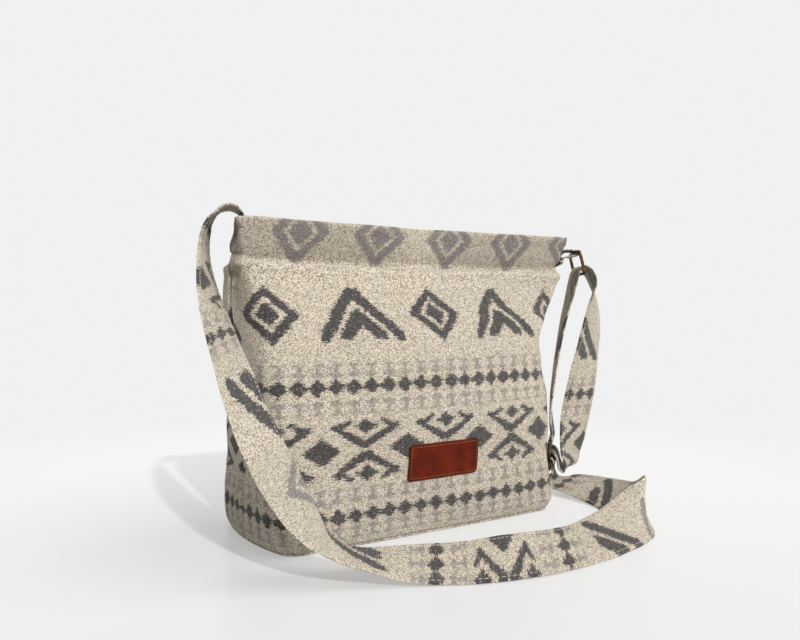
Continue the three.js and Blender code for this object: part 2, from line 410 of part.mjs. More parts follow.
// ----------------------------------------------------------------------- zip
// tapes run from the hem's inner face to the teeth
function tapePiece(name, front) {
  const xs = [], N = 40, outer = [], inner = [];
  for (let s = 0; s <= N; s++) xs.push(lerp(ZIP_X0 - 6, ZIP_X1 + 6, s / N));
  const o = outline(ZIP_Z);
  const yAt = (x) => {
    // inner face of the wall at this x, on the chosen side
    let best = null;
    const lo = front ? 6 : SEAM_R + 6, hi = front ? SEAM_R - 6 : NALL - 6;
    // height of the wall's own grid that lands on the tape, rim sag included
    const zi = (i) => { let z = ZIP_Z; for (let r = 0; r < 4; r++) z = ZIP_Z + sag(i, z); return z + TAPE_T / 2 + 0.2; };
    for (let i = lo; i < hi; i++) {
      const p = wall(i, zi(i), CLOTH + GAP + 0.35), q = wall(i + 1, zi(i + 1), CLOTH + GAP + 0.35);
      if ((p[0] - x) * (q[0] - x) <= 0) { best = lerp(p[1], q[1], (x - p[0]) / (q[0] - p[0] || 1)); break; }
    }
    return best;
  };
  const sgn = front ? -1 : 1;
  for (const x of xs) { outer.push([x, yAt(x)]); inner.push([x, ZIP_Y + sgn * 3.0]); }
  const ring = [...outer, ...inner.reverse()];
  const cap = capOf(ring);
  const [v, t] = loft([ring.map(([x, y]) => [x, y, ZIP_Z - TAPE_T / 2]), ring.map(([x, y]) => [x, y, ZIP_Z + TAPE_T / 2])], cap);
  bag.add(mesh(name, v, t, tape));
}
tapePiece('zip_tape_front', true);
tapePiece('zip_tape_back', false);

// teeth: a comb on each tape edge, the two combs interleave with clearance
function teeth(name, front) {
  const sgn = front ? -1 : 1, pts = [];
  const shift = front ? 0 : TOOTH_PITCH / 2;
  const n = Math.floor((ZIP_X1 - ZIP_X0) / TOOTH_PITCH) - 1;
  pts.push([ZIP_X0, ZIP_Y + sgn * 2.6]);
  for (let k = 0; k < n; k++) {
    const x = ZIP_X0 + 1.2 + shift + k * TOOTH_PITCH;
    pts.push([x, ZIP_Y + sgn * 1.3], [x + 0.35, ZIP_Y - sgn * 0.9], [x + 1.45, ZIP_Y - sgn * 0.9], [x + 1.8, ZIP_Y + sgn * 1.3]);
  }
  const xe = ZIP_X1;
  pts.splice(1, 0, [ZIP_X0, ZIP_Y + sgn * 1.3]);
  pts.push([xe, ZIP_Y + sgn * 1.3], [xe, ZIP_Y + sgn * 2.7]);
  pts[0] = [ZIP_X0, ZIP_Y + sgn * 2.7];
  const cap = capOf(pts);
  const [v, t] = loft([pts.map(([x, y]) => [x, y, ZIP_Z - 1.1]), pts.map(([x, y]) => [x, y, ZIP_Z + 1.1])], cap);
  bag.add(mesh(name, v, t, brass));
}
teeth('zip_teeth_front', true);
teeth('zip_teeth_back', false);

// slider: two plates joined by a post past the last tooth, open around the teeth
const SL_X = ZIP_X1 + 8.5;   // closed position
{
  const box = (x0, x1, y0, y1, z0, z1) => wasm.Manifold.cube([x1 - x0, y1 - y0, z1 - z0]).translate([x0, y0, z0]);
  let s = box(SL_X - 11, SL_X + 3, ZIP_Y - 5.2, ZIP_Y + 5.2, ZIP_Z + 1.4, ZIP_Z + 2.7);
  s = s.add(box(SL_X - 11, SL_X + 3, ZIP_Y - 5.2, ZIP_Y + 5.2, ZIP_Z - 2.7, ZIP_Z - 1.4));
  s = s.add(box(SL_X - 0.8, SL_X + 3, ZIP_Y - 1.6, ZIP_Y + 1.6, ZIP_Z - 1.5, ZIP_Z + 1.5));
  // bridge that holds the pull
  s = s.add(box(SL_X - 8, SL_X - 6.6, ZIP_Y - 1.4, ZIP_Y + 1.4, ZIP_Z + 2.6, ZIP_Z + 5.6));
  s = s.add(box(SL_X - 1.4, SL_X, ZIP_Y - 1.4, ZIP_Y + 1.4, ZIP_Z + 2.6, ZIP_Z + 5.6));
  s = s.add(box(SL_X - 8, SL_X, ZIP_Y - 1.4, ZIP_Y + 1.4, ZIP_Z + 5.0, ZIP_Z + 6.2));
  bag.add(fromSolid('zip_slider', s, brass));
}
// pull: bail round the bridge, then a tapered tab lying back along the zip
const PULL_X = SL_X - 3.9, PULL_Z = ZIP_Z + 3.85;
{
  const box = (x0, x1, y0, y1, z0, z1) => wasm.Manifold.cube([x1 - x0, y1 - y0, z1 - z0]).translate([x0, y0, z0]);
  let s = box(PULL_X - 0.8, PULL_X + 0.8, ZIP_Y - 3.4, ZIP_Y + 3.4, PULL_Z - 0.65, PULL_Z + 0.65);
  s = s.add(box(PULL_X - 9, PULL_X + 0.8, ZIP_Y - 3.4, ZIP_Y - 1.9, PULL_Z - 0.65, PULL_Z + 0.65));
  s = s.add(box(PULL_X - 9, PULL_X + 0.8, ZIP_Y + 1.9, ZIP_Y + 3.4, PULL_Z - 0.65, PULL_Z + 0.65));
  s = s.add(box(PULL_X - 34, PULL_X - 6, ZIP_Y - 4.0, ZIP_Y + 4.0, PULL_Z - 0.75, PULL_Z + 0.75));
  const hole = wasm.Manifold.cylinder(4, 1.8, 1.8, 20).translate([PULL_X - 29.5, ZIP_Y, PULL_Z - 2]);
  s = s.subtract(hole);
  bag.add(fromSolid('zip_pull', s, brass));
}

// ---------------------------------------------------------------------- ring
const radians = Math.PI / 180;
const ringA = new THREE.Vector3(Math.sin(RING_AZ * radians), Math.cos(RING_AZ * radians), 0);
const ringN = new THREE.Vector3(ringA.y, -ringA.x, 0);       // outward
const ringTop = new THREE.Vector3(...RING_TOP), ringBot = new THREE.Vector3(...RING_BOT);
{
  const down = new THREE.Vector3().subVectors(ringBot, ringTop), hgt = down.length();
  down.normalize();
  const hl = RING_L / 2 - WIRE_R, rc = 4.5, pts = [];
  const corner = (sx, d0) => [sx * hl, d0];
  const cs = [corner(-1, 0), corner(1, 0), corner(1, hgt), corner(-1, hgt)];
  for (let q = 0; q < 4; q++) {
    const c = cs[q], p = cs[(q + 3) % 4], n = cs[(q + 1) % 4];
    const u = [Math.sign(p[0] - c[0]), Math.sign(p[1] - c[1])], w = [Math.sign(n[0] - c[0]), Math.sign(n[1] - c[1])];
    const ctr = [c[0] + (u[0] + w[0]) * rc, c[1] + (u[1] + w[1]) * rc];
    for (let k = 0; k <= 5; k++) {
      const t = (k / 5) * Math.PI / 2;
      const x = ctr[0] - w[0] * rc * Math.cos(t) - u[0] * rc * Math.sin(t);
      const y = ctr[1] - w[1] * rc * Math.cos(t) - u[1] * rc * Math.sin(t);
      pts.push(ringTop.clone().addScaledVector(ringA, x).addScaledVector(down, y));
    }
  }
  const [v, t] = rod(pts, WIRE_R, 14, true);
  bag.add(mesh('strap_ring', v, t, brass));
}

// cloth tab: sewn flat to the right end of the band, out round the ring's top
// bar and back under
{
  const iR = SEAM_R, tw = 40, tt = 1.6;
  const out = wallOut(iR, 270);
  const wallW = new THREE.Vector3(-out[1], out[0], 0).normalize();
  const face = (z, off) => { const p = wall(iR, z, -off); return [p[0], p[1], z]; };
  const mix = (t) => wallW.clone().lerp(ringA, t).normalize().toArray();
  const bar = (deg, r) => ringTop.clone().addScaledVector(ringN, r * Math.sin(deg * radians)).add(new THREE.Vector3(0, 0, r * Math.cos(deg * radians))).toArray();
  const rr = WIRE_R + GAP + tt / 2;
  const h1 = face(284, GAP + tt / 2 + 0.9), h2 = face(277.5, GAP + tt / 2 + 1.0), h0 = face(288, GAP + tt / 2 + 0.9);
  const mid = (p, q, t, dz) => [lerp(p[0], q[0], t), lerp(p[1], q[1], t), lerp(p[2], q[2], t) + dz];
  const start = bar(-12, rr);
  const frames = [
    { c: h0, w: wallW.toArray() }, { c: h1, w: wallW.toArray() }, { c: h2, w: mix(0.05) },
    { c: mid(h2, start, 0.25, -0.8), w: mix(0.3) }, { c: mid(h2, start, 0.6, -0.2), w: mix(0.8) },
  ];
  for (let dg = -12; dg <= 192; dg += 17) frames.push({ c: bar(dg, rr), w: ringA.toArray() });
  const under = bar(192, rr);
  const low = face(266, GAP + tt / 2 + 0.6);
  frames.push({ c: mid(under, low, 0.35, 0.6), w: mix(0.8) });
  frames.push({ c: mid(under, low, 0.75, 0.9), w: mix(0.3) });
  const low2 = face(264.5, GAP + tt / 2 + 0.9), low3 = face(257, GAP + tt / 2 + 1.3);
  frames.push({ c: low2, w: mix(0.05) }, { c: low3, w: wallW.toArray() });
  const [v, t] = ribbon(frames, tw, tt);
  bag.add(mesh('ring_tab', v, t, cloth));
}

// -------------------------------------------------------------------- straps
function strapFrames(rows, gather) {
  // the sewn end is gathered until it is over the rim
  let run = 0;
  return rows.map((r, k) => {
    if (k) run += Math.hypot(r[0] - rows[k - 1][0], r[1] - rows[k - 1][1], r[2] - rows[k - 1][2]);
    const t = Math.min(1, Math.max(0, (run - GATHER_0) / (GATHER_1 - GATHER_0)));
    return { c: r.slice(0, 3), w: r.slice(3), width: gather ? lerp(GATHER_W, STRAP_W, t * t * (3 - 2 * t)) : STRAP_W };
  });
}
{
  const [v, t] = ribbon(strapFrames(STRAP_MAIN, true), STRAP_W, STRAP_T);
  bag.add(mesh('shoulder_strap', v, t, webbing));
  const [v2, t2] = ribbon(strapFrames(STRAP_END, false), STRAP_W, STRAP_T);
  bag.add(mesh('strap_loop_end', v2, t2, webbing));
}

// ------------------------------------------------------------------ adjuster
{
  const A = new THREE.Vector3(Math.sin(ADJ_AZ * radians), Math.cos(ADJ_AZ * radians), 0);
  const C = new THREE.Vector3(...ADJ_C), Z = new THREE.Vector3(0, 0, 1);
  const hl = ADJ_L / 2 - ADJ_BAR, rc = 3, pts = [];
  const cs = [[-hl, -ADJ_PITCH], [hl, -ADJ_PITCH], [hl, ADJ_PITCH], [-hl, ADJ_PITCH]];
  for (let q = 0; q < 4; q++) {
    const c = cs[q], p = cs[(q + 3) % 4], n = cs[(q + 1) % 4];
    const u = [Math.sign(p[0] - c[0]), Math.sign(p[1] - c[1])], w = [Math.sign(n[0] - c[0]), Math.sign(n[1] - c[1])];
    const ctr = [c[0] + (u[0] + w[0]) * rc, c[1] + (u[1] + w[1]) * rc];
    for (let k = 0; k <= 4; k++) {
      const t = (k / 4) * Math.PI / 2;
      pts.push(C.clone().addScaledVector(A, ctr[0] - w[0] * rc * Math.cos(t) - u[0] * rc * Math.sin(t)).addScaledVector(Z, ctr[1] - w[1] * rc * Math.cos(t) - u[1] * rc * Math.sin(t)));
    }
  }
  const [v, t] = rod(pts, ADJ_BAR, 12, true);
  const [v2, t2] = rod([C.clone().addScaledVector(A, -hl), C.clone().addScaledVector(A, hl)], ADJ_BAR, 12, false);
  bag.add(fromSolid('strap_adjuster', solidOf(v, t).add(solidOf(v2, t2)), brass));
}

// ------------------------------------------------------------- leather patch
// the patch follows the front panel's face
function frontFace(u, z, off) { const i = NS / 2 + u * NF; return wall(i, z, -off); }
{
  const uW = PATCH_W / 312, NU = 14, NV = 6, rr = 4;
  const rings = [];
  // outline points in plan order, rounded corners
  const ringAt = (off, inset) => {
    const pts = [], w = PATCH_W / 2 - inset, h = PATCH_H / 2 - inset, r = rr - inset;
    const push = (x, y) => pts.push(frontFace(PATCH_U + (x / PATCH_W) * uW, PATCH_Z + y, off));
    const arc = (cx, cy, a0) => { for (let k = 0; k <= 4; k++) { const t = (a0 + k * 22.5) * radians; push(cx + r * Math.cos(t), cy + r * Math.sin(t)); } };
    for (let k = 1; k < NU; k++) push(lerp(-w + r, w - r, k / NU), -h);
    arc(w - r, -h + r, -90);
    for (let k = 1; k < NV; k++) push(w, lerp(-h + r, h - r, k / NV));
    arc(w - r, h - r, 0);
    for (let k = 1; k < NU; k++) push(lerp(w - r, -w + r, k / NU), h);
    arc(-w + r, h - r, 90);
    for (let k = 1; k < NV; k++) push(-w, lerp(h - r, -h + r, k / NV));
    arc(-w + r, -h + r, 180);
    return pts;
  };
  // columns across the patch, each one a closed strip that follows the cloth
  const W2 = PATCH_W / 2, H2 = PATCH_H / 2, xs = [-W2, -W2 + 0.5, -W2 + 1.8, -W2 + rr];
  for (let k = 1; k < NU; k++) xs.push(lerp(-W2 + rr, W2 - rr, k / NU));
  xs.push(W2 - rr, W2 - 1.8, W2 - 0.5, W2);
  const row = (x, y, off) => frontFace(PATCH_U + (x / PATCH_W) * uW, PATCH_Z + y, off);
  for (const x of xs) {
    const e = Math.max(0, Math.abs(x) - (W2 - rr)), h = H2 - rr + Math.sqrt(Math.max(0, rr * rr - e * e)), ring = [];
    for (let j = 0; j <= NV; j++) ring.push(row(x, lerp(-h, h, j / NV), PATCH_SEAT));
    for (let j = NV; j >= 0; j--) ring.push(row(x, lerp(-h, h, j / NV), PATCH_SEAT + PATCH_T));
    rings.push(ring);
  }
  const cap = [];
  for (let j = 0; j < NV; j++) { const q = 2 * NV + 1 - j; cap.push([j, j + 1, q - 1], [j, q - 1, q]); }
  const [v, t] = loft(rings, cap);
  bag.add(mesh('leather_patch', v, t, leather));

  // stitching: one thread line just inside the patch edge, proud of the leather
  const pts = ringAt(PATCH_SEAT + PATCH_T + GAP + 0.45, 2.6).map((p) => new THREE.Vector3(...p));
  // drop repeated points
  const clean = pts.filter((p, k) => p.distanceTo(pts[(k + 1) % pts.length]) > 0.05);
  const [sv, st] = rod(clean, 0.4, 6, true);
  bag.add(mesh('patch_stitching', sv, st, thread));
}

export default bag;
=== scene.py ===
import math

import bpy
import numpy as np
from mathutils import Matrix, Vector


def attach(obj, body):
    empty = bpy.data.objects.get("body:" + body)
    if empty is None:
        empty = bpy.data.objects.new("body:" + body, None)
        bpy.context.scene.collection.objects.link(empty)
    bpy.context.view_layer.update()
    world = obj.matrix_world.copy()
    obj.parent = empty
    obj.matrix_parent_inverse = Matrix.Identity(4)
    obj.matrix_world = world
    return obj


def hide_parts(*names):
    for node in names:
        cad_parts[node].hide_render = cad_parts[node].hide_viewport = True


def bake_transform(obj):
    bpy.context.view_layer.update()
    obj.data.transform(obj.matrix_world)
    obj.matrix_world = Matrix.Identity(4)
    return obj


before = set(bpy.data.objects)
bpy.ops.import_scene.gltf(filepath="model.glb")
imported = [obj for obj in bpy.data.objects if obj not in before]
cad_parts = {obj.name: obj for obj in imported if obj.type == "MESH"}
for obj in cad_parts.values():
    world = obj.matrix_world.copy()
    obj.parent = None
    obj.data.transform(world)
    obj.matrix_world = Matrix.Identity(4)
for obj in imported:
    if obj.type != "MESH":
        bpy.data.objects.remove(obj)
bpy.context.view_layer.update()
MM = 0.001
scene = bpy.context.scene

# ------------------------------------------------------------------- camera
cam_data = bpy.data.cameras.new("camera")
cam = bpy.data.objects.new("camera", cam_data)
scene.collection.objects.link(cam)
cam.location = (-0.42137, -0.66724, 0.21097)
cam.rotation_euler = (math.pi / 2 - 0.016722, 0.0, -0.571207)
cam_data.sensor_width = 36.0
cam_data.lens = 35.1
cam_data.clip_start = 0.01
cam_data.clip_end = 50.0
cam_data.dof.use_dof = False
scene.camera = cam

# ------------------------------------------------------------- strap frames
# centre x, y, z in mm, then the direction across from the outer edge to the
# inner edge: the same route as the solids
STRAP_MAIN = [
    (-156.8, 1.5, 263, 0.341, 0.94, 0.019), (-156.9, 1.5, 266.5, 0.342, 0.94, 0.009), (-157, 1.5, 270, 0.342, 0.94, 0.003), (-157, 1.5, 273.5, 0.342, 0.94, 0.001),
    (-157.1, 1.5, 277, 0.342, 0.94, 0.004), (-157.3, 1.6, 280.5, 0.341, 0.94, 0.011), (-157.7, 1.7, 283.9, 0.337, 0.941, 0.022), (-158.5, 1.8, 287.4, 0.327, 0.945, 0.034),
    (-159.6, 2.1, 290.7, 0.31, 0.95, 0.044), (-161.3, 2.4, 293.9, 0.289, 0.956, 0.05), (-163.5, 2.9, 296.7, 0.265, 0.963, 0.045), (-166.2, 3.6, 298.8, 0.247, 0.969, 0.029),
    (-169.5, 4.4, 300, 0.241, 0.971, 0.009), (-172.9, 5.2, 300.1, 0.232, 0.973, -0.006), (-176.3, 6, 299.2, 0.213, 0.977, -0.027), (-179.3, 6.5, 297.4, 0.197, 0.978, -0.067),
    (-181.8, 6.8, 294.9, 0.205, 0.973, -0.107), (-183.9, 6.9, 292.1, 0.219, 0.967, -0.134), (-185.9, 6.9, 289.1, 0.24, 0.957, -0.164), (-187.7, 6.8, 286.1, 0.276, 0.939, -0.206),
    (-189.3, 6.6, 283, 0.314, 0.916, -0.25), (-192.5, 5, 274.8, 0.37, 0.864, -0.342), (-194.5, 2.2, 266.5, 0.411, 0.812, -0.414), (-195.8, -1.7, 258.4, 0.456, 0.755, -0.472),
    (-196.8, -6.2, 250.7, 0.5, 0.694, -0.517), (-197.7, -11.4, 243.4, 0.543, 0.633, -0.552), (-198.6, -17.1, 236.5, 0.585, 0.576, -0.571), (-199.5, -23.1, 229.8, 0.626, 0.524, -0.577),
    (-200.4, -29.3, 223.4, 0.666, 0.48, -0.571), (-201.3, -35.6, 217.1, 0.7, 0.449, -0.556), (-202, -42.1, 210.9, 0.73, 0.427, -0.534), (-202.7, -48.6, 204.8, 0.758, 0.413, -0.505),
    (-203.2, -55.1, 198.5, 0.779, 0.41, -0.475), (-203.6, -61.4, 192.2, 0.798, 0.419, -0.434), (-203.7, -67.5, 185.6, 0.816, 0.436, -0.381), (-203.4, -73.4, 178.8, 0.832, 0.452, -0.321),
    (-202.8, -79, 171.8, 0.846, 0.466, -0.261), (-202, -84.1, 164.4, 0.856, 0.475, -0.203), (-200.9, -88.7, 156.8, 0.864, 0.48, -0.15), (-199.7, -93, 148.9, 0.869, 0.483, -0.104),
    (-198.3, -96.8, 140.9, 0.872, 0.486, -0.06), (-196.7, -100.4, 132.9, 0.873, 0.488, -0.015), (-194.7, -103.9, 124.8, 0.875, 0.483, 0.032), (-192.4, -107.1, 116.7, 0.876, 0.476, 0.077),
    (-189.9, -110.2, 108.7, 0.874, 0.472, 0.117), (-187, -113.1, 100.6, 0.869, 0.469, 0.154), (-184, -115.8, 92.6, 0.862, 0.471, 0.186), (-180.7, -118.4, 84.7, 0.849, 0.485, 0.21),
    (-177.2, -120.8, 76.8, 0.83, 0.508, 0.229), (-173.4, -123.1, 68.9, 0.807, 0.538, 0.241), (-169.5, -125.4, 61.2, 0.779, 0.578, 0.244), (-165.3, -127.6, 53.6, 0.741, 0.629, 0.236),
    (-160.7, -130, 46.2, 0.684, 0.698, 0.213), (-155.7, -132.6, 39.1, 0.619, 0.764, 0.179), (-150.1, -135.4, 32.7, 0.536, 0.836, 0.12), (-143.8, -138.5, 27.1, 0.466, 0.882, 0.074),
    (-136.6, -141.7, 22.6, 0.427, 0.902, 0.062), (-128.9, -144.9, 19.2, 0.402, 0.914, 0.056), (-120.9, -148.2, 16.7, 0.391, 0.917, 0.074), (-112.8, -151.5, 14.8, 0.397, 0.907, 0.141),
    (-104.6, -154.9, 13.3, 0.412, 0.888, 0.205), (-96.4, -158.5, 12.1, 0.426, 0.865, 0.266), (-88.3, -162.3, 11.3, 0.436, 0.843, 0.316), (-80.3, -166.3, 10.7, 0.442, 0.828, 0.344),
    (-72.3, -170.5, 10.5, 0.44, 0.821, 0.365), (-64.4, -174.7, 10.4, 0.431, 0.82, 0.376), (-56.4, -178.8, 10.4, 0.409, 0.828, 0.384), (-48.3, -182.7, 10.6, 0.373, 0.84, 0.393),
    (-40.1, -186.3, 10.9, 0.329, 0.853, 0.406), (-31.7, -189.4, 11.3, 0.282, 0.863, 0.42), (-23.1, -192.2, 11.7, 0.235, 0.87, 0.434), (-14.4, -194.5, 12, 0.193, 0.874, 0.446),
    (-5.6, -196.3, 12.2, 0.155, 0.88, 0.449), (3.3, -197.6, 12.1, 0.119, 0.887, 0.447), (12.2, -198.6, 12, 0.082, 0.893, 0.444), (21.2, -199.1, 11.7, 0.045, 0.899, 0.435),
    (30.2, -199.2, 11.4, 0.008, 0.906, 0.423), (39.2, -199, 11.2, -0.026, 0.911, 0.412), (48.1, -198.5, 11, -0.055, 0.915, 0.399), (57.1, -197.8, 10.8, -0.078, 0.919, 0.386),
    (66, -196.8, 10.6, -0.096, 0.923, 0.372), (75, -195.7, 10.2, -0.119, 0.913, 0.389), (83.9, -194.4, 10.4, -0.154, 0.9, 0.408), (92.7, -193, 10.9, -0.171, 0.887, 0.43),
    (101.5, -191.5, 11.5, -0.179, 0.873, 0.453), (110.2, -190, 12.1, -0.191, 0.856, 0.48), (118.7, -188.4, 12.8, -0.21, 0.833, 0.513), (127.2, -186.8, 13.8, -0.245, 0.796, 0.554),
    (135.7, -184.8, 15.1, -0.282, 0.74, 0.61), (144.4, -182.6, 16.7, -0.316, 0.66, 0.682), (153.3, -180.1, 18.7, -0.345, 0.539, 0.769), (162.8, -177.4, 21.2, -0.345, 0.337, 0.876),
    (171.9, -173.2, 23.3, -0.184, 0.061, 0.981), (178.8, -166.3, 23.6, 0.062, -0.033, 0.998), (183.6, -158.1, 23.1, 0.217, -0.033, 0.976), (187.6, -149.6, 22.2, 0.366, -0.059, 0.929),
    (191.9, -141.6, 20.9, 0.489, -0.106, 0.866), (196, -133.6, 19.4, 0.59, -0.144, 0.794), (200.1, -125.6, 17.7, 0.676, -0.177, 0.715), (203.8, -117.5, 16, 0.744, -0.192, 0.641),
    (207.1, -109.1, 14.5, 0.785, -0.217, 0.581), (210.2, -100.7, 13.7, 0.813, -0.238, 0.532), (212.8, -92.1, 13.4, 0.846, -0.212, 0.489), (214.9, -83.4, 13, 0.877, -0.163, 0.452),
    (216.4, -74.5, 12.7, 0.903, -0.113, 0.416), (217.3, -65.5, 12.5, 0.924, -0.056, 0.378), (217.6, -56.5, 12.5, 0.94, 0.005, 0.341), (217.3, -47.5, 12.5, 0.952, 0.061, 0.301),
    (216.5, -38.6, 12.5, 0.959, 0.111, 0.26), (215.3, -29.7, 12.3, 0.963, 0.156, 0.22), (213.8, -20.7, 12, 0.975, 0.168, 0.145), (213.4, -18.6, 12.1, 0.98, 0.168, 0.101),
    (213, -16.5, 12.6, 0.983, 0.178, 0.042), (212.6, -14.4, 13.3, 0.978, 0.207, -0.03), (212.2, -12.4, 14.3, 0.959, 0.261, -0.112), (211.8, -10.6, 15.6, 0.914, 0.358, -0.193),
    (211.6, -9.3, 17.4, 0.836, 0.505, -0.215), (211.6, -8.5, 19.4, 0.763, 0.631, -0.142), (211.6, -8.3, 21.6, 0.725, 0.686, -0.061), (211.7, -8.3, 23.9, 0.719, 0.695, -0.013),
    (211.8, -8.3, 26.1, 0.719, 0.695, 0.009), (211.7, -8.2, 28.2, 0.719, 0.695, 0.006), (211.3, -7.9, 30.4, 0.72, 0.694, -0.002), (210.7, -7.3, 32.4, 0.72, 0.694, -0.002),
    (210, -6.5, 34.3, 0.719, 0.695, 0), (209, -5.5, 36.1, 0.719, 0.695, 0.001), (207.9, -4.3, 37.6, 0.719, 0.695, 0), (206.8, -3.2, 39.1, 0.719, 0.695, -0),
    (206, -2.4, 41, 0.719, 0.695, -0), (205.7, -2.1, 43.2, 0.719, 0.695, 0), (205.8, -2.1, 45.4, 0.719, 0.695, -0), (206.2, -2.6, 47.6, 0.719, 0.695, -0),
    (207.1, -3.5, 49.3, 0.719, 0.695, 0), (208.2, -4.7, 50.8, 0.719, 0.695, -0), (209.3, -5.8, 52.4, 0.719, 0.695, -0), (210.2, -6.7, 54.1, 0.719, 0.695, 0),
    (210.9, -7.5, 56.1, 0.719, 0.695, 0), (211.4, -8, 58.2, 0.719, 0.695, 0), (211.7, -8.3, 60.3, 0.719, 0.695, -0.001), (211.8, -8.4, 62.5, 0.719, 0.695, -0.001),
    (211.7, -8.3, 64.7, 0.719, 0.695, 0.002), (211.5, -8.1, 66.9, 0.719, 0.695, 0.007), (210.6, -7.1, 75.8, 0.722, 0.692, -0.024), (210.3, -6, 84.7, 0.712, 0.697, -0.084),
    (210.7, -5.3, 93.7, 0.692, 0.716, -0.094), (211.5, -5.1, 102.6, 0.679, 0.731, -0.07), (212.6, -5.3, 111.6, 0.665, 0.744, -0.063), (213.9, -5.6, 120.5, 0.652, 0.754, -0.079),
    (215.3, -5.8, 129.3, 0.644, 0.759, -0.098), (216.9, -5.8, 138.2, 0.637, 0.763, -0.111), (218.5, -5.9, 147, 0.63, 0.767, -0.12), (220.3, -5.9, 155.8, 0.623, 0.771, -0.13),
    (222.3, -5.9, 164.6, 0.614, 0.777, -0.14), (224.3, -5.9, 173.4, 0.603, 0.784, -0.15), (226.5, -5.9, 182.1, 0.59, 0.791, -0.16), (228.9, -5.8, 190.7, 0.578, 0.8, -0.162),
    (231.3, -5.9, 199.4, 0.568, 0.809, -0.148), (233.8, -6.2, 208, 0.563, 0.817, -0.124), (236.4, -6.7, 216.6, 0.551, 0.827, -0.116), (239, -7.1, 225.2, 0.533, 0.836, -0.132),
    (241.5, -7.4, 233.8, 0.524, 0.843, -0.124), (243.8, -7.8, 242.5, 0.534, 0.844, -0.052), (244.3, -8, 244.6, 0.54, 0.842, -0.025), (244.8, -8.3, 246.8, 0.545, 0.838, 0.004),
    (245.2, -8.6, 249, 0.551, 0.834, 0.027), (245.7, -9.1, 251.1, 0.557, 0.83, 0.041), (246.4, -9.6, 253.1, 0.564, 0.825, 0.045), (247.3, -10.3, 254.9, 0.569, 0.821, 0.037),
    (248.5, -11.3, 256.4, 0.566, 0.824, 0.021), (250.2, -12.4, 257.6, 0.553, 0.833, 0.005),
]
